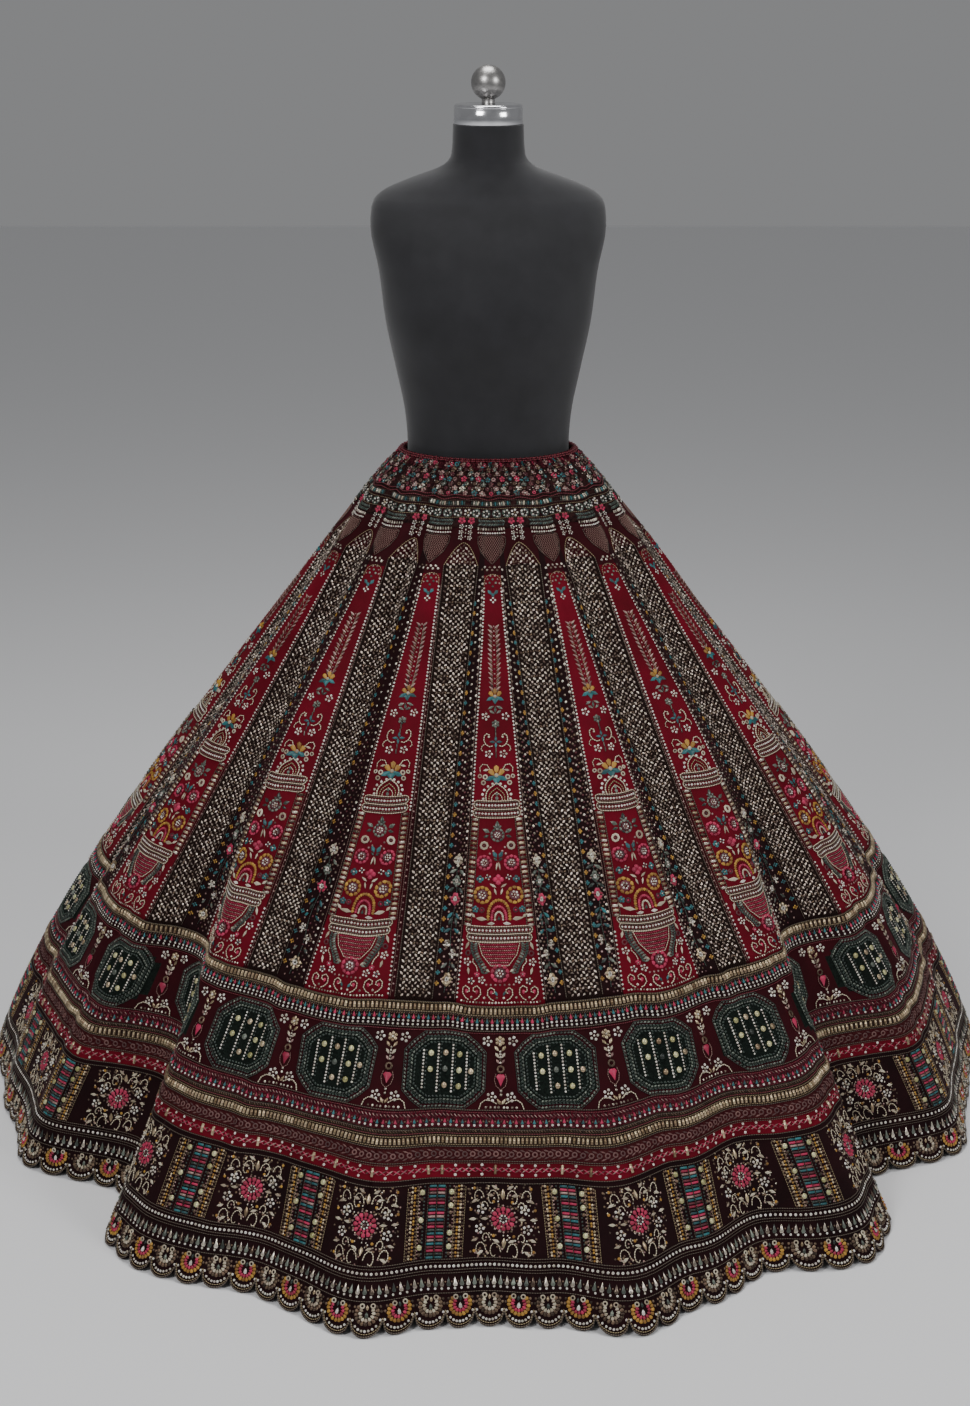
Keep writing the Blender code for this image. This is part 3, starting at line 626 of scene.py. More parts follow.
def shown(name, data):
    """A new object in the scene."""
    thing = bpy.data.objects.new(name, data)
    bpy.context.scene.collection.objects.link(thing)
    return thing


def modified_mesh(piece, modifier):
    """The mesh that a piece's modifier makes; the modifier itself goes."""
    bpy.context.view_layer.update()
    made = bpy.data.meshes.new_from_object(piece.evaluated_get(bpy.context.evaluated_depsgraph_get()))
    piece.modifiers.remove(modifier)
    made.name = piece.name
    return made


def grown(name, mesh, tree, inputs, values):
    """Runs a node tree on a mesh and keeps the result as a plain object."""
    seed = shown(name, mesh)
    modifier = seed.modifiers.new("Grow", "NODES")
    modifier.node_group = tree
    for socket, value in values.items():
        modifier[inputs[socket]] = value
    seed.data = modified_mesh(seed, modifier)
    return seed


def sizes_of(long, wide, high):
    """A stitch's sizes: as wide as it is long and 0.4 of that high, unless they are given."""
    wide = long if wide is None else wide
    return long, wide, 0.4 * np.minimum(long, wide) if high is None else high


class Chart:
    """Stitches charted on flat cloth: x across and y down, in millimetres."""

    def __init__(self):
        self.stitches = []
        self.cords = []

    def put(self, shape, finish, x, y, long, wide=None, high=None, turn=0.0):
        """Shapes at x, y. With turn 0 a shape points down the cloth, and 90 points right."""
        values = (x, y, turn, *sizes_of(long, wide, high))
        values = np.broadcast_arrays(*(np.atleast_1d(value) for value in values))
        metres = np.array([MM, MM, 1.0, MM, MM, MM])[:, None]
        self.stitches.append((shape, finish, metres * np.array(values)))

    def both(self, shape, finish, x, y, long, wide=None, high=None, turn=0.0):
        """The same shape on each side of the middle."""
        for side in (1.0, -1.0):
            self.put(shape, finish, side * np.asarray(x), y, long, wide, high, side * turn)

    def cord(self, finish, thick, points, closed=False):
        """A couched cord through points, with more points between them so that it follows the cloth."""
        points = MM * np.asarray(points, float)
        if closed:
            points = np.concatenate([points, points[:1]])
        run = np.concatenate([[0.0], np.cumsum(np.hypot(*np.diff(points, axis=0).T))])
        legs = [np.linspace(start, stop, int(math.ceil((stop - start) / CORD_STEP)), endpoint=False)
                for start, stop in zip(run, run[1:])]
        spots = np.concatenate(legs + [run[-1:]])
        points = np.stack([np.interp(spots, run, side) for side in points.T], axis=-1)
        self.cords.append((finish, MM * thick, points))

    def both_cords(self, finish, thick, points):
        """The same cord on each side of the middle."""
        for side in (1.0, -1.0):
            self.cord(finish, thick, np.asarray(points) * (side, 1.0))

    def fan(self, finish, x, y, reach, turns, long, wide, high):
        """Petals that point away from x, y; reach is one for across and down, or a pair."""
        across, down = np.broadcast_to(reach, 2)
        ways = np.radians(turns)
        self.put("petal", finish, x + across * np.sin(ways), y + down * np.cos(ways), long, wide, high, turns)

    def halo(self, finish, x, y, radius, count, size, high=None, start=0.0):
        """Beads in a ring."""
        ways = 2.0 * np.pi * np.arange(count) / count + start
        self.put("bead", finish, x + radius * np.sin(ways), y + radius * np.cos(ways), size, high=high)

    def flower(self, petal, heart, x, y, radius, petals=5):
        """Petals round a bead."""
        self.fan(petal, x, y, 0.58 * radius, np.arange(petals) * 360.0 / petals + 180.0, 0.86 * radius,
                 4.2 * radius / petals, 0.32 * radius)
        self.put("big_bead", heart, x, y, 0.48 * radius, high=0.34 * radius)

    def rosette(self, x, y, radius, heart="silver", petals=5):
        """A white flower of round beads."""
        self.halo("pearl", x, y, 0.72 * radius, petals, 0.6 * radius, 0.34 * radius, 0.3)
        self.put("bead", heart, x, y, 0.48 * radius, high=0.4 * radius)


def arch_points(x, y, wide, high, steps=10):
    """Points of an arch that stands on y."""
    along = np.linspace(0.0, np.pi, steps + 1)
    return np.stack([x - 0.5 * wide * np.cos(along), y - high * np.sin(along) ** 0.72], axis=-1)


def curl_points(x, y, wide, high, steps, flip):
    """Points of a curl that opens from x, y."""
    along = np.linspace(0.0, 1.0, steps + 1)
    turned = 1.7 * np.pi * along
    size = 0.5 - 0.36 * along
    return np.stack([x + flip * wide * (0.5 - size * np.cos(turned)), y - 1.2 * high * size * np.sin(turned)],
                    axis=-1)


sewn = {}
couched = {}
random = np.random.default_rng(7)
TILT_SPREAD = 0.7
# Sequin tones paint glints: each sequin is painted dull or bright at random
SEQUIN_GLINT_TONES = (0.9, 1.1)
STITCH_TONES = (1.6, 1.8)


def keep_stitches(region, shape, finish, angle, cloth, turn, long, wide=None, high=None, tilt=0.1):
    """Store stitches by region and finish, until they are made."""
    values = (angle, cloth, turn, *sizes_of(long, wide, high), tilt, KINDS.index(shape))
    values = np.broadcast_arrays(*(np.atleast_1d(value) for value in values))
    sewn.setdefault((region, finish), []).append(np.array(values, float))


def keep_cord(region, finish, thick, angle, cloth):
    """Store one cord by region and finish."""
    couched.setdefault((region, finish), []).append((thick, angle, cloth))


def sew_chart(chart, region, panels, middle):
    """Sew a chart on every panel, about a share of its width or the line of shares that middle gives."""
    for number in range(panels.count):
        def share_at(x, y):
            return (middle(number, y) if callable(middle) else middle) + x / panels.width(y, number)

        for shape, finish, (x, y, turn, long, wide, high) in chart.stitches:
            angle = panels.angle(number, share_at(x, y), y)
            keep_stitches(region, shape, finish, angle, y, turn, long, wide, high)
        for finish, thick, points in chart.cords:
            x, y = points.T
            keep_cord(region, finish, thick, panels.angle(number, share_at(x, y), y), y)


def level_cord(region, finish, cloth, thick, steps=360, waves=0, depth=0.0):
    """A cord all round the skirt at one distance down the cloth."""
    angles = np.linspace(0.0, 360.0, steps + 1)
    keep_cord(region, finish, thick, angles, cloth + depth * np.cos(np.radians(angles * waves)))


def even_angles(cloth, count, start=0.0, every=1):
    """Angles evenly all round the border, count to each of its pieces."""
    share = np.arange(start, count * BORDER_PIECES, every) / count * SCALLOPS_PER_PIECE
    number = np.floor(share).astype(int)
    return hem_angle(number, share - number, cloth)


def level_row(shape, finish, cloth, count, long, wide=None, high=None, turn=0.0, start=0.0, every=1):
    """A row of shapes evenly all round the border."""
    angle = even_angles(cloth, count, start, every)
    keep_stitches("border_rows", shape, finish, angle, cloth, turn, long, wide, high)


def hem_angle(number, share, cloth):
    """Angle at a share of a scallop, counted from the border's first seam."""
    first = 0.5 * (1 - SCALLOPS_PER_PIECE)
    whole = int(math.floor(first))
    return hem.angle(np.asarray(number) + whole, share + (first - whole), cloth)


# Kali embroidery

def red_strip_chart():
    """The tall floral column on each kali's red strip, top to bottom."""
    chart = Chart()
    # Small arch at the strip's top, a teal leaf pair and a white diamond
    chart.cord("gold_cord", 1, arch_points(0, 179, 24, 17))
    for y, half in ((164, 3), (169, 6.8), (175, 9.2)):
        chart.both("bead", "rose", half, y, 2.8)
    chart.put("bead", "grey", [0, -4.2, 4.2, 0], [169, 174, 174, 179], 3.4)
    chart.both("leaf", "teal", 4.2, 187.5, 9.2, 4.8, 2, -42)
    chart.put("petal", "teal", 0, 191, 6, 4.4, 2.2)
    chart.put("bead", "pearl", [0, -2.8, 2.8, 0], [195.2, 198.2, 198.2, 201.2], 3)
    # Feather of leaf pairs
    rows = np.arange(235, 324, 6.6)
    spread = 4.4 + 1.4 * np.sin((rows - 235) / 89 * math.pi)
    chart.both("leaf", "rose", spread, rows, 8.6, 3, 1.4, 128)
    chart.both("leaf", "bronze", 0.8 * spread, rows + 3.4, 7, 2.4, 1.2, 140)
    chart.put("bead", "rose", 0, rows, 2.4)
    # Orange flower in a teal cup
    for y, grow in ((332, 1.05), (440, 1.3)):
        chart.both("leaf", "teal", 5.8 * grow, y + 2.8 * grow, 12 * grow, 5 * grow, 2.2, -118)
        chart.put("drop", "teal", 0, y + 6.2 * grow, 9 * grow, 9.2 * grow, 2.2, 180)
        chart.put("petal", "mustard", np.array([-4.8, 0, 4.8]) * grow,
                  y - np.array([3, 6.2, 3]) * grow,
                  8.8 * grow, 5.8 * grow, 2.6, [218, 180, 142])
        chart.put("big_bead", "cream", 0, y, 4.8 * grow, high=2)
    # Grey leaves, white flowers and a grey-green flower
    chart.both("leaf", "grey", 5.8, 347.5, 9.5, 4, 1.6, -118)
    chart.both("leaf", "grey", 4.6, 353.5, 8, 3.6, 1.6, -60)
    chart.put("leaf", "green", 0, 350, 10, 3.6, 1.6, 180)
    for side in (-1, 1):
        chart.rosette(side * 13.5, 360, 5.6)
        chart.rosette(side * 9.8, 411, 5.6)
    chart.flower("grey", "silver", 0, 370, 5.6, 6)
    chart.put("bar", "grey", 0, [378.5, 384.5, 406, 413], 6, 1.4, 1)
    # White scrolls round a teal leaf cross
    chart.put("leaf", "teal", [0, 0, -4.6, 4.6], [390, 399, 394.5, 394.5], 8.2, 3.8, 1.8,
              [180, 0, -90, 90])
    chart.both_cords("cream_cord", 1.7, [(4, 400), (8.5, 401.2), (13.2, 398.5), (15.8, 393),
                                            (15, 386.8), (11.8, 383.8), (8.6, 385), (9.2, 388.4)])
    chart.both_cords("cream_cord", 1.3, [(15, 398), (18.5, 401), (20, 405.5), (17.8, 407.5)])
    chart.both("bead", "cream", 9.2, 387.5, 3.4)
    # White curls and rings beside the second cup
    chart.both_cords("cream_cord", 1.5, [(8, 433), (12, 426.2), (18, 425.5), (22, 430.5),
                                            (21.5, 436.5)])
    chart.both("leaf", "cream", 13.5, 433, 8.5, 3.2, 1.4, -105)
    for x, y, size in ((15, 442.5, 7.4), (22.2, 442, 6), (17.5, 450.5, 7)):
        chart.both("ring", "cream", x, y, size, size, 1.4)
        chart.both("bead", "maroon", x, y, 0.42 * size)
    # Small mihrab arch in white and gold
    pointed = np.array([(14, 474.5), (14.6, 468.5), (12.8, 462.5), (8.8, 457.5), (4, 453.8),
                        (0, 450.5)])
    for grow, finish, thick in ((1, "cream_cord", 1.9), (0.72, "gold_cord", 1.4), (0.48, "cream_cord", 1.1)):
        sides = (pointed - (0, 474.5)) * grow + (0, 474.5)
        chart.cord(finish, thick, np.concatenate([sides, (sides * (-1, 1))[::-1][1:]]))
    chart.put("petal", "grey", 0, [465.5, 471.5], 6, 4.8, 1.8, 180)
    beads = np.concatenate([pointed[:-1] * (1.3, 1) - (0, 2.2), [(0, 447)]])
    chart.both("bead", "pearl", beads[:, 0], beads[:, 1], 3.8)
    # Two bead crossbars, each a double outline round a row of beads
    crossbar(chart, 480.8, 31, 5.6, 14)
    crossbar(chart, 492.2, 32, 5.6, 14)
    field_chart(chart)
    crossbar(chart, 647.8, 44, 5, 18)
    crossbar(chart, 658, 43, 5, 18)
    bowl_chart(chart)
    return chart


def crossbar(chart, y, half, reach, beads):
    """A double capsule outline round a row of beads."""
    for inset, finish, thick in ((0, "cream_cord", 1.6), (2.1, "grey_cord", 1.5)):
        ends = np.radians(np.linspace(-90, 90, 5))
        size = reach - inset
        right = np.stack([half - reach + size * np.cos(ends), y + size * np.sin(ends)], axis=-1)
        left = np.stack([-half + reach - size * np.cos(ends), y - size * np.sin(ends)], axis=-1)
        chart.cord(finish, thick, np.concatenate([right, left]), closed=True)
    spots = np.linspace(-half + 0.7 * reach, half - 0.7 * reach, beads)
    chart.put("bead", "pearl", spots, y, 3.4, 3.4, 1.8)


def field_chart(chart):
    """Flowers, leaves and an arch inside the bead frame."""
    big_flower(chart, "grey", 0, 520.5, 9.2)
    chart.put("leaf", "grey", 0, 506.5, 10.5, 6, 1.8, 180)
    chart.both("leaf", "grey", 3.2, 510, 6, 3.4, 1.8, 130)
    chart.both("leaf", "grey", 14.8, 515, 10.5, 5.6, 1.8, 115)
    chart.both("leaf", "green", 15, 522.5, 8, 4.2, 1.8, 70)
    for side in (-1, 1):
        chart.put("ring", "cream", side * 17.8, 535, 12.2, 12.2, 2.2)
        chart.put("bead", "maroon", side * 17.8, 535, 4)
        chart.put("bead", "rose", side * np.array([9.5, 6, 10.5]), [537, 542, 545.5], 3)
        big_flower(chart, "pink", side * 18, 558, 10.2)
        big_flower(chart, "mustard", side * 21.3, 601, 11.6)
        chart.flower("teal", "pearl", side * 24, 580, 5, 4)
        chart.rosette(side * 13.5, 577, 4, "teal", 4)
        chart.put("ring", "maroon", side * 22.2, 621, 8, 8, 1.8)
        chart.put("bead", "pink", side * 22.2, 621, 3.4)
        chart.flower("teal", "silver", side * 31, 620.5, 4.8, 5)
    # Green sprig on a cream stem, and a pink bud in cream leaves
    chart.both("leaf", "teal", 4, 546.5, 10.5, 5.8, 2.2, 150)
    chart.both("leaf", "green", 3.4, 553, 7, 3.6, 2, 128)
    chart.both("leaf", "cream", 1.8, 562, 12, 2.4, 1.6, 10)
    chart.put("big_bead", "pink", [0, -4, 4], [576.5, 580, 580], 7, high=3)
    chart.put("petal", "pink", 0, 583, 8.5, 8, 3, 0)
    chart.both("leaf", "cream", 7.2, 588, 10, 3.2, 1.6, 120)
    chart.both("leaf", "cream", 4.2, 596, 9.5, 2.8, 1.6, -18)
    # Mustard, pink and cream arches over a green drop, with white leaves beside them
    for half, high, finish, size in ((14.2, 27, "mustard", 4.6), (9.4, 18.5, "pink", 3.8),
                                     (5.2, 11.5, "cream", 3)):
        line = arch_points(0, 634.5, 2 * half, high, 24)
        x, y, turn = spaced_along(line, 0.78 * size)
        chart.put("petal", finish, x, y, size, size, 0.45 * size, turn)
    chart.put("drop", "green", 0, 631, 6.5, 4.2, 2, 0)
    chart.both("leaf", "cream", 24, 632.5, 18, 5.6, 2.2, 96)
    chart.both("leaf", "pearl", 10.5, 638.5, 10.5, 4.6, 2, 84)
    chart.both("leaf", "cream", 34.5, 628.5, 9.5, 4, 1.8, 125)


def big_flower(chart, rim, x, y, radius):
    """A round flower: coloured rim petals, a dark ring and a white floret."""
    chart.fan(rim, x, y, 0.84 * radius, np.arange(10) * 36, 0.42 * radius, 0.6 * radius, 2.4)
    chart.put("ring", "maroon", x, y, 1.3 * radius, 1.3 * radius, 1)
    chart.rosette(x, y, 0.5 * radius, "silver", 6)


def bowl_chart(chart):
    """The netted bowl, its scrolls and the florets along the kali's foot."""
    top, foot = 664, 694
    half_top, half_foot = 27, 11.5
    chart.cord("cream_cord", 1.3, [(-half_top, top), (half_top, top), (22.5, 680), (half_foot, foot),
                                      (-half_foot, foot), (-22.5, 680)], True)
    for row, y in enumerate(np.arange(top + 2.4, foot, 2.6)):
        half = np.interp(y, [top, 680, foot], [half_top, 22.5, half_foot]) - 1.5
        spots = np.arange(-half + (1.4 if row % 2 else 0), half, 2.8)
        chart.put("leaf", "rose" if row % 2 else "pink", spots, y, 3.4, 1.3, 0.9, 60 if row % 2 else -60)
    way = np.linspace(0, 1, 12)
    x = 33.5 - 13.5 * smooth_step(way) + 3 * np.sin(np.pi * way)
    y = 666 + 37 * way
    for shift, finish in ((-2.4, "grey"), (2.4, "green")):
        chart.both("leaf", finish, x + shift, y, 6.8, 3.6, 2, -60 if shift > 0 else 60)
    chart.both_cords("grey_cord", 1, np.stack([x - 5, y], axis=-1))
    chart.both_cords("cream_cord", 1.6, [(29, 702), (30.5, 695.5), (35, 690), (34.5, 685.5)])
    chart.both("leaf", "cream", 42.5, 669, 12, 4, 1.8, 14)
    chart.both("ring", "maroon", 41.5, 679, 8.5, 8.5, 1.8)
    chart.both("leaf", "cream", 41.5, 702, 11, 3.6, 1.8, -20)
    for side in (-1, 1):
        chart.rosette(side * 43, 690.5, 5.6)
        chart.rosette(side * 24, 713, 5.2)
        chart.rosette(side * 38, 715, 4.8, "teal")
        chart.flower("pink", "pearl", side * 30, 706, 3.8, 5)
    big_flower(chart, "pink", 0, 704, 12)
    chart.both("leaf", "cream", 16.5, 700, 8.5, 3.2, 1.8, 120)
    chart.put("bead", "rose", np.linspace(-18, 18, 7), 719, 3)
    paisley = np.array([(-0.55, 0.1), (-0.2, -0.1), (0.1, -0.5), (0.05, -1), (-0.25, -1.25), (-0.6, -1.05),
                        (-0.62, -0.75), (-0.38, -0.65)])
    for x, size, way in ((12, 12.5, 1), (30, 14, -1), (45, 13, 1)):
        chart.both_cords("cream_cord", 1.8, paisley * (way * size, size) + (x + 0.25 * way * size, 738.5))
        chart.both("petal", "pink", x - 0.05 * way * size, 729, 5.8, 4.6, 2.4, 180)
    chart.both("bead", "silver", [4.5, 21, 38], 736, 3.4)
    chart.both("leaf", "teal", 5.5, 730, 8, 3.6, 1.8, 150)
    chart.put("bead", "silver", np.linspace(-52, 52, 26), 742.5, 2.8)


def kali_middle(number, cloth):
    """Share at the middle of a kali's red strip."""
    edges = kali_edges(number, cloth)
    return 0.5 * (edges[2] + edges[3])


def edge_angle(number, side, cloth, inward=0.0):
    """Angle of a line that lies inward from one edge of a red strip."""
    share = kali_edges(number, cloth)[2 if side < 0 else 3] - side * inward / kalis.width(cloth)
    return kalis.angle(number, share, cloth)


def strip_angle(number, side, cloth, across):
    """Angle in a side strip; across runs from 0 at the red strip to 1 at the honeycomb."""
    comb, red = kali_edges(number, cloth)[[1, 2] if side < 0 else [4, 3]]
    return kalis.angle(number, red + (comb - red) * across, cloth)


def sew_strip_edges(number, side):
    """White beads along one edge of a red strip, and a frame of stacked bars lower down."""
    thin = np.concatenate([np.arange(0.182, 0.496, 0.0049), np.arange(0.664, 0.743, 0.0058)])
    angle = edge_angle(number, side, thin, 0.0006)
    keep_stitches("kali", "bead", "pearl", angle, thin, 0.0, 0.0031, 0.0031, 0.0016)
    bars = np.arange(0.501, 0.642, 0.0064)
    for shape, finish, spots, turn, sizes in (
            ("bar", "silver", bars[::2], 90.0, (0.0076, 0.004, 0.0028)),
            ("bar", "gold", bars[1::2], 90.0, (0.0076, 0.004, 0.0028)),
            ("bead", "maroon", bars + 0.0032, 0.0, (0.0024, 0.0024, 0.0014))):
        keep_stitches("kali", shape, finish, edge_angle(number, side, spots, 0.0062), spots, turn, *sizes)
    frame_run, strip_run = np.linspace(0.499, 0.643, 22), np.linspace(0.18, KALI_END - 0.006, 40)
    for finish, thick, inward, run in (
            ("grey_cord", 0.0012, 0.001, frame_run), ("grey_cord", 0.0012, 0.0112, frame_run),
            ("net_cord", 0.0007, -0.0024, strip_run)):
        keep_cord("kali", finish, thick, edge_angle(number, side, run, inward), run)


def seam_angle(number, across, cloth):
    """Angle at a distance across the seam that ends a kali."""
    return kalis.angle(number, 1.0 + across / kalis.width(cloth), cloth)


def sew_honeycomb(number):
    """Slanting spangles in a zig-zag lattice along a kali seam, under a pointed arch."""
    for row, cloth in enumerate(np.arange(HONEYCOMB_TOP + 0.004, KALI_END - 0.006, 0.5 * COMB_PITCH)):
        half = (HONEYCOMB_HALF - 0.0028) * min(max((cloth - HONEYCOMB_TOP) / 0.03, 0.0), 1.0) ** 0.55
        columns = (np.arange(-3, 4) + (0.5 if row % 2 else 0.0)) * COMB_PITCH
        columns = columns[np.abs(columns) <= half + 0.0001]
        if not len(columns):
            continue
        slant = 40.0 if row % 2 else -40.0
        keep_stitches("honeycomb", "spangle", "spangle", seam_angle(number, columns, cloth), cloth, slant,
                      0.0056, 0.0034, 0.002, tilt=0.45)
        if row % 3 == 0:
            between = columns[:-1] + 0.5 * COMB_PITCH
            keep_stitches("honeycomb", "spangle", "bronze", seam_angle(number, between, cloth), cloth, -slant,
                          0.0046, 0.0022, 0.0012, tilt=0.3)
    across = np.linspace(-1.0, 1.0, 17)
    rise = HONEYCOMB_TOP + 0.032 * np.abs(across) ** 1.6
    keep_cord("kali", "gold_cord", 0.0012, seam_angle(number, HONEYCOMB_HALF * across, rise), rise)
    run = np.linspace(HONEYCOMB_TOP + 0.032, KALI_END - 0.006, 44)
    for side in (-1.0, 1.0):
        keep_cord("kali", "grey_cord", 0.0012, seam_angle(number, side * HONEYCOMB_HALF, run), run)


def sew_dark_strip(number, side):
    """Sequin columns, a floret column at the honeycomb and a bouquet below."""
    def sew(shape, finish, cloth, across, turn, *sizes):
        keep_stitches("kali", shape, finish, strip_angle(number, side, cloth, across), cloth, turn, *sizes)

    upper = np.arange(0.166, 0.735, 0.0098)
    low = upper[upper > 0.36]
    for across, finish, rows, size in (
            (0.17, "silver", upper, 0.004), (0.56, "silver", upper[upper < 0.53] + 0.0049, 0.0036),
            (0.36, "bronze", low + 0.002, 0.003), (0.72, "rose", low + 0.003, 0.003),
            (0.27, "rose", low[low > 0.45] + 0.0065, 0.0024), (0.46, "maroon", low + 0.007, 0.003)):
        sew("bead", finish, rows, across, 0.0, size, size, 0.45 * size)
    rows = np.arange(0.205, 0.735, 0.014)
    for finish, spots in (("teal", rows[::2]), ("mustard", rows[1::2])):
        for turn in (-90.0, 0.0, 90.0, 180.0):
            way = math.radians(turn)
            sew("petal", finish, spots + 0.0018 * math.cos(way), 0.9 + 0.05 * math.sin(way), side * turn,
                0.0032, 0.003, 0.0015)
    for cloth, across, petal, size, petals in (
            (0.56, 0.5, "cream", 0.0092, 6), (0.588, 0.5, "grey", 0.0084, 7), (0.612, 0.5, "pink", 0.0092, 7),
            (0.672, 0.66, "silver", 0.007, 5), (0.684, 0.38, "silver", 0.007, 5),
            (0.718, 0.5, "gold", 0.0096, 7)):
        turns = np.arange(petals) * 360.0 / petals
        ways = np.radians(turns)
        for shape, finish, reach, long, wide in (
                ("petal", petal, 0.62, 0.8, 0.5), ("bead", "pearl", 0.26, 0.3, 0.3)):
            spread = across + reach * size / STRIP_WIDTH * np.sin(ways)
            sew(shape, finish, cloth + reach * size * np.cos(ways), spread, -side * turns, long * size,
                wide * size, 0.0024)
    for cloth, spread, turn, finish in ((0.634, 0.16, 140.0, "teal"), (0.642, 0.12, 160.0, "green"),
                                        (0.654, 0.2, 120.0, "teal"), (0.6, 0.22, 130.0, "green"),
                                        (0.7, 0.18, 130.0, "grey"), (0.575, 0.2, 120.0, "grey")):
        for way in (-1.0, 1.0):
            sew("leaf", finish, cloth, 0.5 + way * spread, -way * side * turn, 0.0115, 0.0048, 0.002)
    stem = np.linspace(0.565, 0.735, 16)
    sway = 0.5 + 0.05 * np.sin(stem * 70.0)
    keep_cord("kali", "green_cord", 0.0012, strip_angle(number, side, stem, sway), stem)


def sew_side_strip(number, side):
    """A wide strip's flowers, or a single column of pale beads in a narrow one."""
    if is_dark(number, side):
        sew_dark_strip(number, side)
    else:
        cloth = np.arange(0.19, 0.738, 0.0088)
        angle = strip_angle(number, side, cloth, 0.55)
        keep_stitches("kali", "bead", "rose", angle, cloth, 0.0, 0.0026, 0.0026, 0.0014)


# Yoke embroidery, in fourteen units that follow the kalis

def yoke_chart():
    """One unit, centred on a red strip, from the gathers down to its shield."""
    chart = Chart()
    petals = ("rose", "bronze", "maroon", "pink", "grey", "rose", "teal", "maroon", "silver")
    for row, y in enumerate(np.arange(8.5, 49, 6.6)):
        for column in range(5):
            place = 5 * row + column
            x = (column - 2 + (0.5 if row % 2 else 0)) * 11.2 + random.uniform(-2, 2)
            petal = petals[(place * 3 + row) % len(petals)]
            size = random.uniform(2.8, 4.6)
            if place % 3 == 2:
                chart.put("ring", petal, x, y, 1.7 * size, 1.7 * size, 1.4)
                chart.put("bead", "maroon", x, y, 0.6 * size)
            else:
                chart.flower(petal, "pearl" if place % 2 else "maroon", x, y + random.uniform(-1, 1), size)
    for x, y, way in ((-19, 18, 1), (5, 12, -1), (21, 25, 1), (-8, 36, -1),
                      (15, 43, 1)):
        chart.cord("green_cord", 1.3, curl_points(x, y, 8, 10, 7, way))
        chart.put("leaf", "teal", x + 4 * way, y - 6.2, 7.4, 3.2, 2, 110 * way)
    spots = random.uniform(-28, 28, 110), random.uniform(5, 52, 110)
    for finish, first, last, size in (("silver", 0, 35, 1.6), ("rose", 35, 65, 1.9), ("bronze", 65, 95, 2.2),
                                      ("maroon", 95, 110, 2.2)):
        chart.put("bead", finish, spots[0][first:last], spots[1][first:last], size)
    # Glassy bead bars in four colours
    for place, finish in enumerate(("green", "silver", "grey", "cream", "green", "teal")):
        spots = np.arange(-27.2 + 3 * place, 28.5, 18)
        chart.put("bar", finish, spots, 62.5, 5.8, 2.3, 1.4)
    # White flowers between thin lines
    for x in (-21.5, -7.2, 7.2, 21.5):
        chart.rosette(x, 76.5, 5.7, "green")
        chart.put("ring", "green", x, 76.5, 13.2, 13.2, 0.8)
    # Slanting teal and grey braid above the shield
    slant = np.arange(-17.5, 18, 3.3)
    for y, lean in ((87, 38), (92, -38)):
        chart.put("leaf", "green", slant, y, 6.4, 1.5, 1.2, lean)
        chart.put("leaf", "grey", slant + 1.6, y, 6, 1.1, 1, lean)
        chart.put("bead", "teal", slant[::2] + 0.8, y, 2.2)
    chart.put("bar", "silver", np.arange(-18.5, 19, 3.6), 98.5, 3.8, 2.2, 1.4)
    chart.put("bead", "pearl", np.arange(-18.5, 19, 3.3), 104, 2.7)
    # Netted shield
    outline = [(0, 108), (12, 106.8), (19, 110), (19.5, 119), (15, 132), (0, 148)]
    chart.cord("grey_cord", 0.9, outline + [(-x, y) for x, y in outline[::-1][1:-1]], True)
    for shift in np.arange(-34, 34.1, 3.1):
        for lean in (-0.62, 0.62):
            y = np.linspace(108.5, 147, 12)
            x = shift + lean * (y - 128)
            inside = np.abs(x) < np.interp(y, [108, 110, 119, 132, 148], [16, 19, 19.2, 14.6, 0])
            if inside.sum() > 1:
                first, last = np.nonzero(inside)[0][[0, -1]]
                run = np.linspace(0, 1, 3)[:, None]
                ends = np.array([(x[first], y[first]), (x[last], y[last])])
                chart.cord("net_cord", 0.7, ends[0] + (ends[1] - ends[0]) * run)
    for y, half, count in ((152, 10, 4), (156, 14, 5)):
        chart.put("bead", "silver", np.linspace(-half, half, count), y, 3.6)
    return chart


def seam_chart():
    """Pink bud pair over white florets, centred on a kali seam under the flower row."""
    chart = Chart()
    for side in (-1, 1):
        chart.fan("pink", side * 6.6, 88, 3, np.arange(5) * 72, 4.8, 4.2, 2.2)
        chart.put("bead", "maroon", side * 6.6, 88, 2.8, high=2.6)
        for y in (96.8, 105, 112.8):
            chart.rosette(side * 6.2, y, 3.5)
    chart.put("bead", "silver", 0, [96, 101, 106, 111], 2.4)
    chart.rosette(0, 76.5, 5.7, "gold")
    return chart


# Border embroidery

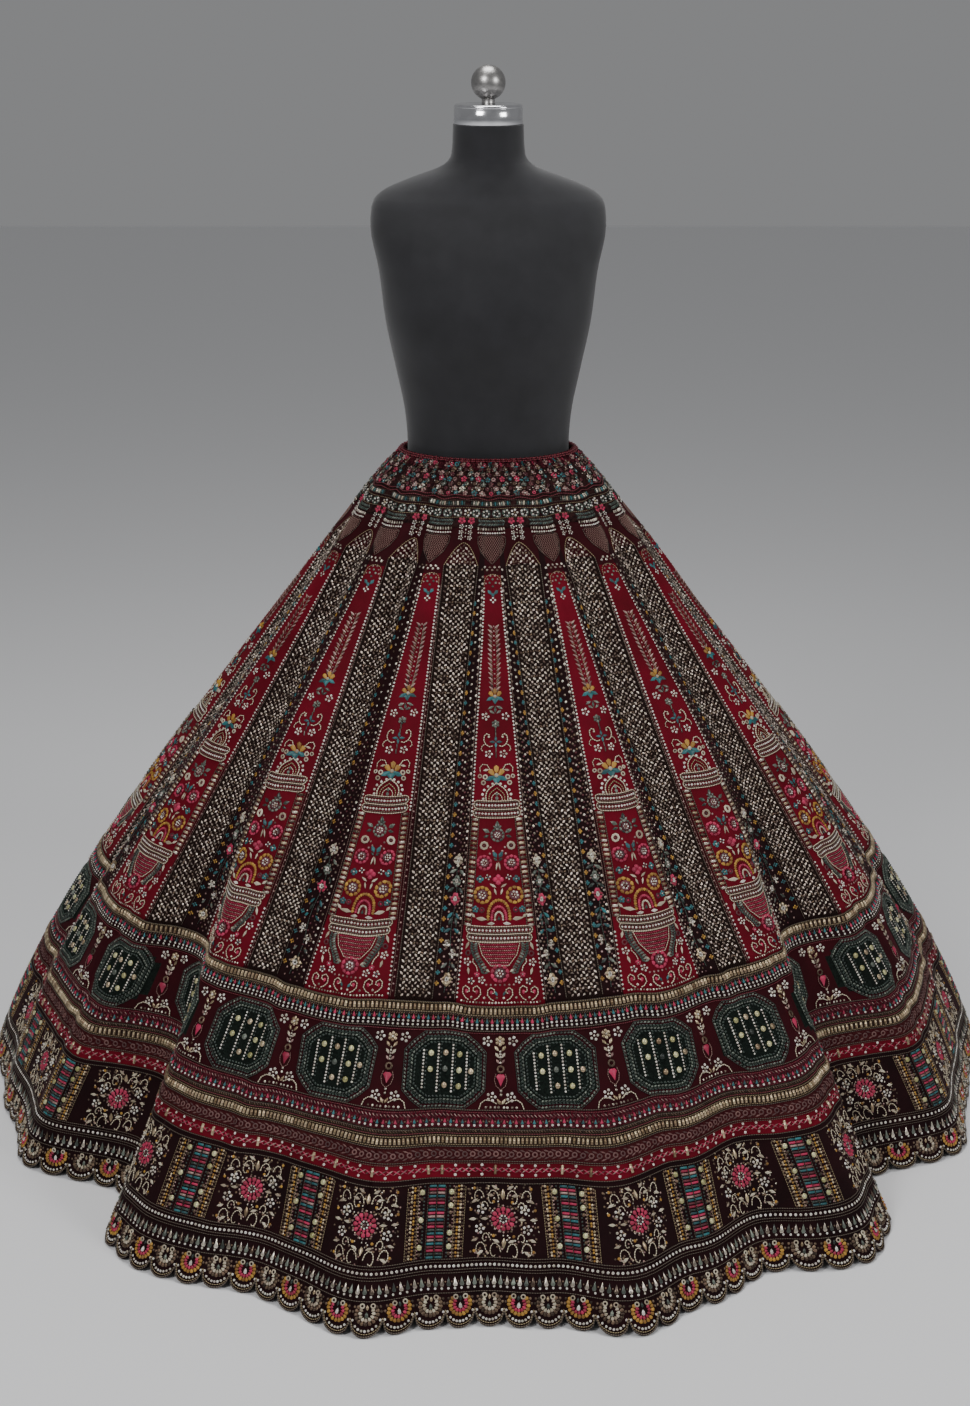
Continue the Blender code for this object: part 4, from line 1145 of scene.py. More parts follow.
def octagon_chart():
    """Rounded octagon of bead chains round strings of white beads and pale discs."""
    chart = Chart()
    half_size = np.array([OCTAGON_HALF_WIDTH, OCTAGON_HALF_HEIGHT]) / MM
    middle = OCTAGON_MIDDLE / MM
    cut = OCTAGON_CORNER - 1
    quarter = np.array([(1, cut), (0.5 * (1 + cut) + 0.02, 0.5 * (1 + cut) + 0.02), (cut, 1)])
    half = np.concatenate([quarter, quarter[::-1] * (-1, 1)])
    shape = np.concatenate([half, -half, half[:1]])
    for ring, finish in enumerate(("grey", "green", "grey", "green")):
        size = half_size - 1.8 - 4 * ring
        x, y, turn = spaced_along(shape * size, 4.7)
        chart.put("leaf", finish, x, middle + y, 4.6, 3, 2, turn + (70 if ring % 2 else 110))
    for ring in (0, 2):
        size = half_size - 4 * ring + 0.4
        chart.cord("green_cord", 1.1, shape * size + (0, middle))
    inner = half_size - 17

    def reach_at(x):
        return inner[1] * min(1, OCTAGON_CORNER - abs(x) / (inner[0] + 2))

    for x in (-28.5, -9.5, 9.5, 28.5):
        reach = reach_at(x)
        chart.put("bead", "pearl", x, middle + np.arange(-reach, reach, 4.2), 3)
        chart.put("bead", "green", x + 3.6, middle + np.arange(-reach, reach, 5.2), 2.6)
    for column, x in enumerate((-19, 0, 19, 34.5)):
        for row, y in enumerate((-20.5, 0, 20.5)):
            if (column, row) not in ((0, 2), (3, 0), (3, 2)):
                chart.put("disc", ("pale_gold", "gold", "pale_gold", "grey")[(column + 2 * row) % 4], x,
                          middle + y, 8.2, 7.4, 1.8)
    return chart


def spaced_along(line, pitch):
    """Places and turns evenly spaced along a line; the turn points out to its left."""
    points = np.asarray(line, float)
    steps = np.diff(points, axis=0)
    run = np.concatenate([[0.0], np.cumsum(np.linalg.norm(steps, axis=1))])
    count = max(int(round(run[-1] / pitch)), 2)
    spots = (np.arange(count) + 0.5) * run[-1] / count
    leg = np.minimum(np.searchsorted(run, spots) - 1, len(steps) - 1)
    turn = np.degrees(np.arctan2(steps[leg, 0], steps[leg, 1])) + 90.0
    return np.interp(spots, run, points[:, 0]), np.interp(spots, run, points[:, 1]), turn


def column_chart():
    """Flowered column between two octagons."""
    chart = Chart()
    for side in (-1, 1):
        chart.rosette(side * 16.5, 792.5, 6.8)
        chart.rosette(side * 12.5, 865, 6.8)
    chart.flower("gold", "pearl", 0, 792.5, 6.6, 6)
    chart.both("leaf", "gold", 4.6, 802, 9, 4.4, 1.8, -35)
    chart.both("leaf", "cream", 4, 811, 8.5, 4, 1.8, -35)
    chart.both("leaf", "rose", 3.4, 819, 7, 3.4, 1.8, -35)
    chart.put("bead", "silver", 0, np.arange(806, 823, 3.6), 3)
    chart.put("ring", "bronze", 0, 829, 11, 11, 1.8)
    chart.put("drop", "pink", 0, 843, 16.5, 12, 3.4, 180)
    chart.both_cords("net_cord", 1.2, [(0, 856), (6, 851), (8.2, 843), (6, 835)])
    chart.put("bead", "silver", 0, [857, 862], 3.6)
    chart.both_cords("cream_cord", 1.7, [(5.5, 874), (12, 870), (20.5, 869), (26.2, 873),
                                            (29, 881)])
    chart.both("bead", "silver", [3.5, 8, 14, 20], 878.5, 3.4)
    chart.both("leaf", "gold", 3, 871, 9, 4.4, 2, 150)
    return chart


def square_chart():
    """Rosette with florets and cream scrolls on the wide dark band."""
    chart = Chart()
    middle = 1021
    chart.fan("pink", 0, middle, 12, np.arange(12) * 30, 7.2, 6.2, 2.6)
    chart.halo("pink", 0, middle, 7.4, 10, 4)
    chart.halo("pearl", 0, middle, 4.4, 7, 2.8)
    chart.put("bead", "maroon", 0, middle, 4.6)
    chart.halo("rose", 0, middle, 16.8, 18, 2.8)
    for side in (-1, 1):
        for y, x in ((-12.5, 27.5), (12.5, 30.5)):
            chart.rosette(side * x, middle + y, 6.6)
        for x, y, wide, high in ((5, -25, 17, 24), (24, -27, 15, 20),
                                 (4, 42, 17, 24), (23, 40, 16, 22),
                                 (18, 25, 11, 14), (19, -15, 11, 14)):
            chart.cord("cream_cord", 1.5, curl_points(side * x, middle + y, wide, high, 9, side))
        for x, y, turn in ((10, -40, 120), (36, -23, 60), (39, 0, 90), (37, 26, 70),
                           (10, 28, 110), (24, 0, 90), (16, -30, 100), (30, 42, 60)):
            chart.put("leaf", "cream", side * x, middle + y, 10, 4.2, 1.8, side * turn)
        for x, y in ((36, -39), (38, 40), (12, -21.5), (13, 21.5), (41, -12)):
            chart.put("bead", "mustard", side * x, middle + y, 4.2)
    chart.put("leaf", "gold", 0, middle - 31, 14, 6, 2, 180)
    chart.put("leaf", "gold", 0, middle + 31, 14, 6, 2, 0)
    for finish, count, size in (("silver", 36, 2.2), ("bronze", 110, 3), ("rose", 24, 2.6),
                                ("gold", 30, 2.4)):
        x, y = random.uniform(-45, 45, count), random.uniform(-45, 48, count)
        chart.put("bead", finish, x, middle + y, size)
    return chart


def stripe_chart():
    """Upright stripes of beads, discs and woven columns between two rosettes."""
    chart = Chart()
    top, foot = 979, 1068
    spots = np.arange(top, foot, 4.6)
    for side in (-1, 1):
        for x, finish, size in ((30.5, "gold", 3.4), (27.2, "mustard", 3.2), (24, "bronze", 2.8),
                                (33.8, "bronze", 2.8)):
            chart.put("bead", finish, side * x, spots + random.uniform(-1, 1, len(spots)), size)
        discs = np.arange(top + 7, foot - 4, 17)
        shown = discs[[0, 1, 3, 4]] if side > 0 else discs[[0, 2, 4]]
        chart.put("disc", "pale_gold", side * 18.2, shown, 7.6, 7.2, 1.8)
        chart.put("bead", "bronze", side * 18.2, discs + 8.5, 4.8)
        chart.put("bead", "green", side * 15.5, spots, 2.6)
        chart.put("bead", "rose", side * 21, spots, 2.4)
        rows = np.arange(top, foot, 4.2)
        for place, finish in enumerate(("teal", "pink", "rose", "teal", "maroon", "pink", "green")):
            chart.put("bar", finish, side * 5.4, rows[place::7], 9.2, 3, 1.6, 90)
    for x in (-36, -22.6, -10.8, 0, 10.8, 22.6, 36):
        line = [(x, y) for y in np.linspace(top, foot, 7)]
        chart.cord("gold_cord" if abs(x) > 20 else "grey_cord", 0.9, line)
    return chart


def sew_border():
    """Bands, rows and motifs of the border all round."""
    sew_chart(octagon_chart(), "border", border, 0.0)
    sew_chart(column_chart(), "border", border, 0.5)
    sew_chart(stripe_chart(), "border", border, 0.0)
    sew_chart(square_chart(), "border", border, 0.5)
    # Drop rows: coloured drops over white beads
    for cloth, count, long, wide, finishes in (
            (0.7665, 42, 0.0074, 0.0042, ("teal", "pink")), (0.897, 40, 0.0064, 0.0044, ("pink", "teal")),
            (1.0975, 44, 0.013, 0.006, ("silver", "grey"))):
        for start, finish in enumerate(finishes):
            level_row("drop", finish, cloth, count, long, wide, 0.0022, 0.0, start + 0.5, 2)
        level_row("bead", "pearl", cloth + 0.5 * long + 0.0018, count, 0.0034, start=0.5)
        level_row("bead", "bronze", cloth, count, 0.0024, start=1.0)
    level_row("bead", "pearl", 0.7765, 42, 0.0032, start=0.5)
    level_row("bead", "pearl", 1.0785, 62, 0.004)
    # Bright red band: crossed pink stitches between bead pairs, and a gold bar now and then
    for turn, finish in ((58.0, "pink"), (-58.0, "rose")):
        level_row("leaf", finish, 0.9585, 38, 0.0115, 0.002, 0.0014, turn, 0.5)
    for spot in range(19):
        if spot in (0, 4, 5, 9, 14, 16):
            level_row("bar", "gold", 0.9585, 19, 0.0118, 0.0036, 0.0022, 0.0, spot, 19)
        else:
            for cloth in (0.9525, 0.9645):
                level_row("bead", "pearl", cloth, 19, 0.004, start=spot, every=19)
    # Rose and braid edging bands: small crossed stitches
    level_row("leaf", "rose", 0.8895, 62, 0.0056, 0.0014, 0.001, 45.0)
    level_row("leaf", "bronze", 0.7625, 84, 0.0046, 0.0014, 0.001, -45.0)
    level_row("leaf", "bronze", 0.909, 84, 0.0046, 0.0014, 0.001, 45.0)
    # Maroon band: small scrolls
    level_row("ring", "net", 0.9385, 32, 0.008, 0.008, 0.001, 0.0, 0.25)
    level_row("leaf", "net", 0.934, 32, 0.0085, 0.0022, 0.001, 70.0, 0.75)
    level_row("leaf", "net", 0.943, 32, 0.0085, 0.0022, 0.001, 110.0, 0.75)
    for finish, rows in (
            ("grey_cord", {0.7475: 1.2, 0.7605: 1.1, 0.78: 1.4, 0.8825: 1.4, 0.9075: 1.2, 0.929: 1.2, 0.9475: 1.2,
                           0.95: 1.0, 0.969: 1.3, 0.9755: 1.3, 1.07: 1.3, 1.0735: 1.1, 1.0835: 1.3, 1.087: 1.1,
                           1.1115: 1.3}),
            ("maroon_cord", {0.783: 1.0, 0.8855: 1.0, 0.9125: 1.0})):
        for cloth, thick in rows.items():
            level_cord("border", finish, cloth, thick * MM)


def scallop_edge(across):
    """Cloth distance of a scallop's edge, where across runs from -1 to 1."""
    round_share = np.sqrt(np.maximum(1.0 - across ** 2, 0.0))
    return SCALLOP_TOP + (CLOTH_LENGTH - SCALLOP_TOP) * (SCALLOP_ROOT + (1.0 - SCALLOP_ROOT) * round_share)


def sew_scallops():
    """Two alternating fan motifs in the scallops, with beads and a cord along the edge."""
    every = np.arange(hem.count)
    across = np.linspace(-1.0, 1.0, 11)
    for number in every:
        for inset, finish, thick in ((0.001, "grey_cord", 0.0022), (0.0042, "gold_cord", 0.0013)):
            line = scallop_edge(across) - inset
            keep_cord("scallops", finish, thick, hem_angle(number, 0.5 + 0.5 * across, line), line)
    for spot in np.linspace(-0.94, 0.94, 9):
        cloth = scallop_edge(spot) - 0.0082
        keep_stitches("scallops", "bead", "pearl", hem_angle(every, 0.5 + 0.46 * spot, cloth), cloth, 0.0,
                      0.0036, 0.0036, 0.0022)
    width = float(hem.width(1.13))
    for parity in (0, 1):
        for shape, finish, rows in fan_chart(parity).stitches:
            for x, y, *turn_and_sizes in rows.T:
                angles = hem_angle(every[parity::2], 0.5 + x / width, y)
                keep_stitches("scallops", shape, finish, angles, y, *turn_and_sizes)


def fan_chart(parity):
    """A scallop's fan: mustard with a pink heart, or bronze with a cream one."""
    chart = Chart()
    middle = 1125.5
    outer, inner = ("mustard", "pink") if parity else ("bronze", "cream")
    chart.fan(outer, 0, middle, (12.2, 12.5), np.linspace(-125, 125, 13), 6.2, 5, 2.2)
    chart.fan(inner, 0, middle, (7.6, 8), np.linspace(-120, 120, 9), 5.4, 4.6, 2.4)
    chart.put("petal", "pearl" if parity else "grey", 0, middle + 2, 7.8, 5.2, 3)
    chart.both("ring", "cream", 6.2, 1116.5, 7.2, 7.2, 1.6)
    chart.put("leaf", "green" if parity else "gold", 0, 1118.5, 7, 4, 2, 180)
    chart.both("bead", "bronze", [15, 16.5], [1118, 1124], 3.6)
    return chart


def sew_braid(name, cloth, bars):
    """Flat braid: bright gold bars between two cords, on the border's own dark ground."""
    keep_stitches(name, "bar", "gold", even_angles(cloth, bars), cloth, 0.0, 0.0078, 0.0036, 0.0022, tilt=0.05)
    for offset in (-0.0056, 0.0056):
        level_cord("border", "gold_cord", cloth + offset, 0.001)


# Making the pieces

# For each region, its pieces' name before the finish, and their slot
REGIONS = {
    "kali": ("kali_embroidery", "kali_velvet"), "honeycomb": ("honeycomb_embroidery", "kali_velvet"),
    "yoke": ("yoke_embroidery", "yoke_embroidery"), "border": ("border_embroidery", "border_velvet"),
    "border_rows": ("border_row", "border_velvet"), "scallops": ("scallop_embroidery", "border_velvet"),
    "upper_braid": ("upper_braid", "gold_braid"), "middle_braid": ("middle_braid", "gold_braid"),
}


def finished(piece):
    """A piece rides on the one body."""
    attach(piece, "root")
    return piece


def store(mesh, name, kind, values):
    """Keep a value for each point of a mesh."""
    layer = mesh.attributes.new(name, kind, "POINT").data
    field = "vector" if kind == "FLOAT_VECTOR" else "value"
    layer.foreach_set(field, np.asarray(values, np.int32 if kind == "INT" else np.float32).ravel())


def map_corners(mesh, name, places):
    """A map that puts each corner where its point's place says."""
    vertex = np.empty(len(mesh.loops), np.int32)
    mesh.loops.foreach_get("vertex_index", vertex)
    mesh.uv_layers.new(name=name).data.foreach_set("uv", places[vertex].astype(np.float32).ravel())


def bake_map(mesh, count):
    """Give each sewn shape its own cell of a map."""
    cells = np.empty(len(mesh.vertices), np.int32)
    mesh.attributes["cell"].data.foreach_get("value", cells)
    flat = np.empty(3 * len(mesh.vertices), np.float32)
    mesh.attributes["flat_place"].data.foreach_get("vector", flat)
    wide = math.ceil(math.sqrt(count))
    corner = np.stack([cells % wide, cells // wide], axis=-1)
    map_corners(mesh, "OFBake", (corner + flat.reshape(-1, 3)[:, :2]) / wide)


def drop_stored(mesh, *names):
    """Take off the values that only the making needed."""
    for name in names:
        if name in mesh.attributes:
            mesh.attributes.remove(mesh.attributes[name])


def make_stitches():
    """Turn the stored stitches into one mesh for each region and finish."""
    tree, inputs = sewing_tree()
    shapes = shape_collection()
    made = {}
    for (region, finish), batches in sewn.items():
        angle, cloth, turn, long, wide, high, tilt, kind = np.concatenate(batches, axis=1)
        count = len(angle)
        place, across, downward, outward = cloth_frame(angle, cloth)
        turned = np.radians(turn)[:, None]
        facing = outward + tilt[:, None] * random.normal(size=(count, 3)) * TILT_SPREAD
        facing /= np.linalg.norm(facing, axis=1, keepdims=True)
        mesh = bpy.data.meshes.new("spots")
        mesh.vertices.add(count)
        mesh.vertices.foreach_set("co", (place + outward * SEWN_LIFT).astype(np.float32).ravel())
        store(mesh, "facing", "FLOAT_VECTOR", facing)
        store(mesh, "along", "FLOAT_VECTOR", np.cos(turned) * downward + np.sin(turned) * across)
        store(mesh, "size", "FLOAT_VECTOR", np.stack([long, wide, high], axis=-1))
        # Sequins are either bright or dull, the bright ones painted glints for the light each catches; other
        # stitches vary gently in tone
        tones = SEQUIN_GLINT_TONES if finish in ("spangle", "silver") else STITCH_TONES
        store(mesh, "tone", "FLOAT", random.beta(*tones, count))
        store(mesh, "kind", "INT", kind)
        store(mesh, "cell", "INT", np.arange(count))
        start, slot = REGIONS[region]
        name = f"{start}_{finish}"
        piece = grown(name, mesh, tree, inputs, {"Shapes": shapes, "Finish": FINISHES[finish]})
        bake_map(piece.data, count)
        drop_stored(piece.data, "facing", "along", "size", "kind", "cell", "flat_place")
        made[name] = finished(piece)
    return made


def make_cords():
    """Turn the stored cords into one mesh for each region and finish."""
    tree, inputs = cord_tree()
    for (region, finish), runs in couched.items():
        places, edges, thick = [], [], []
        for width, angle, cloth in runs:
            place, _, _, outward = cloth_frame(angle, cloth)
            edges += [(step, step + 1) for step in range(len(places), len(places) + len(angle) - 1)]
            places += (place + outward * CORD_LIFT * width).tolist()
            thick += [width] * len(angle)
        mesh = bpy.data.meshes.new("runs")
        mesh.from_pydata(places, edges, [])
        store(mesh, "thick", "FLOAT", thick)
        piece = grown(f"{region}_{finish}", mesh, tree, inputs, {"Finish": FINISHES[finish]})
        drop_stored(piece.data, "thick")
        finished(piece)


def cloth_piece(name, angles, cloths, zones, materials, closed=False):
    """A shell of cloth on a grid of angles and cloth distances, with a finish for each zone."""
    rows, columns = angles.shape
    points = cloth_point(angles, cloths)
    mesh = bpy.data.meshes.new(name)
    spans = columns if closed else columns - 1
    row, column = np.meshgrid(np.arange(rows - 1), np.arange(spans), indexing="ij")
    upper, lower, following = row * columns, (row + 1) * columns, (column + 1) % columns
    faces = np.stack([upper + column, lower + column, lower + following, upper + following], axis=-1)
    mesh.from_pydata(points.reshape(-1, 3).tolist(), [], faces.reshape(-1, 4).tolist())
    for material in materials:
        mesh.materials.append(FINISHES[material])
    mesh.polygons.foreach_set("material_index", np.asarray(zones, np.int32).ravel())
    mesh.shade_smooth()
    steps = np.linalg.norm(np.diff(points, axis=1), axis=2)
    run = np.concatenate([np.zeros((rows, 1)), np.cumsum(steps, axis=1)], axis=1)
    run -= 0.5 * run[:, -1:]
    map_corners(mesh, "Cloth", np.stack([run.ravel(), cloths.ravel()], axis=-1))
    shell = shown(name, mesh)
    wall = shell.modifiers.new("Wall", "SOLIDIFY")
    wall.thickness = CLOTH_WALL
    wall.offset = -1.0
    shell.data = modified_mesh(shell, wall)
    return shell


def seam_trim(middle, cloth):
    """Half the gap at a seam, in degrees."""
    radius = np.hypot(*cloth_point(middle, cloth)[..., :2].T)
    return np.degrees(0.5 * SEAM_GAP / radius)


KALI_ROWS = 50
KALI_SPANS = [4, 4, 9, 4, 4]
# Cloth above this, under the honeycomb's arch, stays plain
ARCH_DEPTH = 0.026
SCALLOP_STEPS = 6


def make_kali(number):
    """One flared kali with its red, dark, maroon and honeycomb strips."""
    node = f"kali_{number + 1:02d}"
    cloths = np.linspace(YOKE_END + SEAM_GAP, KALI_END - SEAM_GAP, KALI_ROWS + 1)
    edges = kali_edges(number, cloths)
    shares = np.concatenate([np.linspace(left, right, span, endpoint=False)
                             for left, right, span in zip(edges, edges[1:], KALI_SPANS)] + [edges[5:]]).T
    middle = number * 360.0 / KALIS + SKIRT_TURN
    trim = seam_trim(middle, cloths)[:, None]
    angles = kalis.angle(number, shares * 0.999999, cloths[:, None])
    half = 180.0 / KALIS - trim
    angles = middle + np.clip(turn_between(angles, middle), -half, half)
    left, right = (1 if is_dark(number, side) else 2 for side in (-1, 1))
    zones = np.tile(np.repeat([0, left, 3, right, 0], KALI_SPANS), (KALI_ROWS, 1))
    tops = 0.5 * (cloths[1:] + cloths[:-1])
    zones[(tops < RED_TOP)[:, None] & (zones == 3)] = 2
    zones[(tops < HONEYCOMB_TOP + ARCH_DEPTH)[:, None] & (zones == 0)] = 2
    piece = cloth_piece(f"{node}_cloth", angles, np.broadcast_to(cloths[:, None], angles.shape).copy(), zones,
                        ["comb_ground", "dark_velvet", "maroon_velvet", "red_velvet"])
    finished(piece)
    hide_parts(node)


def make_border_piece(number):
    """One twelfth of the border with its ten scallops."""
    node = f"border_piece_{number + 1:02d}"
    columns = SCALLOPS_PER_PIECE * SCALLOP_STEPS
    tops = [*BORDER_BANDS, SCALLOP_TOP]
    tops[0] += SEAM_GAP
    cloths = []
    for top, following in zip(tops, tops[1:]):
        count = max(int(round((following - top) / (0.0085 if top == OCTAGON_ROW else 0.014))), 1)
        cloths += list(np.linspace(top, following, count, endpoint=False))
    cloths.append(SCALLOP_TOP)
    middle = number * 360.0 / BORDER_PIECES + SKIRT_TURN
    across = 2.0 * (np.arange(columns + 1) % SCALLOP_STEPS) / SCALLOP_STEPS - 1.0
    drop = scallop_edge(across) - SCALLOP_TOP
    grid = np.array([np.full(columns + 1, cloth) for cloth in cloths]
                    + [SCALLOP_TOP + drop * share for share in (0.4, 0.75, 1.0)])
    trim = seam_trim(middle, grid.mean(axis=1))[:, None]
    half = 180.0 / BORDER_PIECES - trim
    angles = middle + half * np.linspace(-1.0, 1.0, columns + 1)
    rows = len(grid) - 1
    names = sorted({*BORDER_BANDS.values(), "green_ground"})
    band_index = np.array([names.index(finish) for finish in BORDER_BANDS.values()])
    bands = np.searchsorted(list(BORDER_BANDS), grid[:-1, 0] + 0.001, side="right") - 1
    zones = np.repeat(band_index[bands][:, None], columns, axis=1)
    down = 0.5 * (grid[1:, 0] + grid[:-1, 0])[:, None]
    turn = np.abs(turn_between(0.5 * (angles[:, 1:] + angles[:, :-1])[:-1], middle)) - 0.5 * half[:-1]
    aside = np.abs(turn / (360.0 / border.count) * border.width(down) / (OCTAGON_HALF_WIDTH - 0.006))
    below = np.abs((down - OCTAGON_MIDDLE) / (OCTAGON_HALF_HEIGHT - 0.005))
    inside = np.maximum(np.maximum(aside, below), (aside + below) / OCTAGON_CORNER) < 1.0
    zones[inside] = names.index("green_ground")
    piece = cloth_piece(f"{node}_cloth", angles, grid, zones, names)
    finished(piece)
    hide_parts(node)


def make_waist():
    """The gathered frill and the yoke, closed rings of cloth."""
    columns = 5 * FRILL_WAVES
    ring = np.arange(columns) * 360.0 / columns
    for name, node, tops, finish, slot in (
            ("waist_frill_cloth", "waist_frill", np.linspace(0.0, FRILL_END - SEAM_GAP, 6), "frill_thread",
             "frill_velvet"),
            ("yoke_cloth", "yoke", np.linspace(FRILL_END, YOKE_END, 13), "yoke_thread", "yoke_embroidery")):
        angles = np.broadcast_to(ring, (len(tops), columns)).copy()
        cloths = np.broadcast_to(tops[:, None], angles.shape).copy()
        zones = np.zeros((len(tops) - 1, columns), int)
        piece = cloth_piece(name, angles, cloths, zones, [finish], closed=True)
        finished(piece)
        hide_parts(node)
        points = cloth_point(angles, cloths)


def main():
    strips = red_strip_chart()
    make_waist()
    for number in range(KALIS):
        make_kali(number)
    for number in range(BORDER_PIECES):
        make_border_piece(number)
    sew_chart(strips, "kali", kalis, kali_middle)
    sew_chart(yoke_chart(), "yoke", kalis, 0.5)
    sew_chart(seam_chart(), "yoke", kalis, 0.0)
    for cloth in (0.0515, 0.056):
        level_cord("yoke", "maroon_cord", cloth, 0.0013, 420, 28, 0.0013)
    for cloth in (0.0014, 0.004):
        level_cord("yoke", "maroon_cord", cloth, 0.0022, 504)
    for cloth, finish in ((0.0585, "grey_cord"), (0.0658, "grey_cord"), (0.0695, "gold_cord"),
                          (0.083, "gold_cord")):
        level_cord("yoke", finish, cloth, 0.0007)
    both_sides = [(number, side) for number in range(KALIS) for side in (-1, 1)]
    for number, side in both_sides:
        sew_strip_edges(number, side)
    for number in range(KALIS):
        sew_honeycomb(number)
    for number, side in both_sides:
        sew_side_strip(number, side)
    sew_border()
    sew_scallops()
    sew_braid("upper_braid", UPPER_BRAID_AT, 48)
    sew_braid("middle_braid", MIDDLE_BRAID_AT, 58)
    made = make_stitches()
    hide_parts("upper_braid")
    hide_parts("middle_braid")
    make_cords()


main()


# Dress form finishes

def jersey():
    """Black stretch jersey with a fine knit."""
    material, tree, shader = new_finish("Black jersey", 0.85, Sheen_Weight=0.25, Sheen_Roughness=0.5)
    soft = object_noise(tree, 30.0, 3.0)["Fac"]
    colour_by(tree, soft, [(0.3, (0.006, 0.006, 0.008)), (0.7, (0.012, 0.012, 0.015))],
              shader.inputs["Base Color"])
    add_bump(tree, shader, object_noise(tree, 1600.0, 1.0)["Fac"], 0.3, 0.0003)
    return material


def metal(name, colour, smooth, rough, scale):
    """Metal with faint scratches and smears in its polish."""
    material, tree, shader = new_finish(name, smooth, 1.0)
    marks = object_noise(tree, scale, 5.0)["Fac"]
    dull = tuple(0.8 * part for part in colour)
    colour_by(tree, marks, [(0.3, dull), (0.7, colour)], shader.inputs["Base Color"])
    spread = add_node(tree, "ShaderNodeMapRange", {"To Min": smooth, "To Max": rough})
    tree.links.new(marks, spread.inputs["Value"])
    tree.links.new(spread.outputs["Result"], shader.inputs["Roughness"])
    return material


# Half width, half depth and forward shift of the form by height from the waist, as its solid has them
FORM_SECTIONS = [
    (-0.24, 0.158, 0.112, 0.0), (-0.17, 0.16, 0.116, 0.0), (-0.09, 0.142, 0.106, 0.0),
    (-0.03, 0.1165, 0.0885, 0.0), (0.0, 0.1142, 0.0852, 0.0), (0.05, 0.1175, 0.0895, 0.0),
    (0.11, 0.129, 0.1, 0.004), (0.18, 0.143, 0.116, 0.01), (0.25, 0.152, 0.108, 0.006),
    (0.31, 0.163, 0.09, 0.0), (0.34, 0.16, 0.078, -0.004), (0.358, 0.142, 0.069, -0.006),
    (0.374, 0.104, 0.061, -0.006), (0.388, 0.066, 0.054, -0.004), (0.405, 0.051, 0.05, -0.002),
    (0.445, 0.0485, 0.0485, 0.0),
]
CAP_FOOT = WAIST_HEIGHT + 0.4453
CAP_TOP = CAP_FOOT + 0.027


def eased(places, knots, values):
    """Smooth curve through values at knots, which never swings past its neighbours."""
    slopes = np.gradient(values, knots)
    steps = np.diff(values) / np.diff(knots)
    for limit in (np.append(steps, steps[-1]), np.insert(steps, 0, steps[0])):
        gentle = np.sign(slopes) * np.minimum(np.abs(slopes), 3 * np.abs(limit))
        slopes = np.where(slopes * limit <= 0.0, 0.0, gentle)
    leg = np.clip(np.searchsorted(knots, places, side="right") - 1, 0, len(knots) - 2)
    span = knots[leg + 1] - knots[leg]
    t = (places - knots[leg]) / span
    return ((2 * t ** 3 - 3 * t ** 2 + 1) * values[leg] + (t ** 3 - 2 * t ** 2 + t) * span * slopes[leg]
            + (3 * t ** 2 - 2 * t ** 3) * values[leg + 1] + (t ** 3 - t ** 2) * span * slopes[leg + 1])


def ring_stack(name, node, rings, material):
    """A closed round piece from rings of points, bottom to top, capped at both ends."""
    rows, columns = rings.shape[:2]
    ends = np.array([rings[0].mean(axis=0), rings[-1].mean(axis=0)])
    last = (rows - 1) * columns
    sides = [(column, (column + 1) % columns) for column in range(columns)]
    faces = [(first + left, first + right, first + columns + right, first + columns + left)
             for first in range(0, last, columns) for left, right in sides]
    for left, right in sides:
        faces += [(right, left, rows * columns), (last + left, last + right, rows * columns + 1)]
    mesh = bpy.data.meshes.new(name)
    mesh.from_pydata(np.concatenate([rings.reshape(-1, 3), ends]).tolist(), [], faces)
    mesh.shade_smooth()
    mesh.set_sharp_from_angle(angle=math.radians(50.0))
    mesh.materials.append(material)
    piece = shown(name, mesh)
    finished(piece)
    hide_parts(node)


def turned_piece(name, node, profile, material, sides=48):
    """A turned piece from its profile, radius and height, bottom to top."""
    ways = np.linspace(0.0, 2.0 * np.pi, sides, endpoint=False)
    rings = np.array([[(radius * np.sin(way), -radius * np.cos(way), height) for way in ways]
                      for radius, height in profile])
    ring_stack(name, node, rings, material)


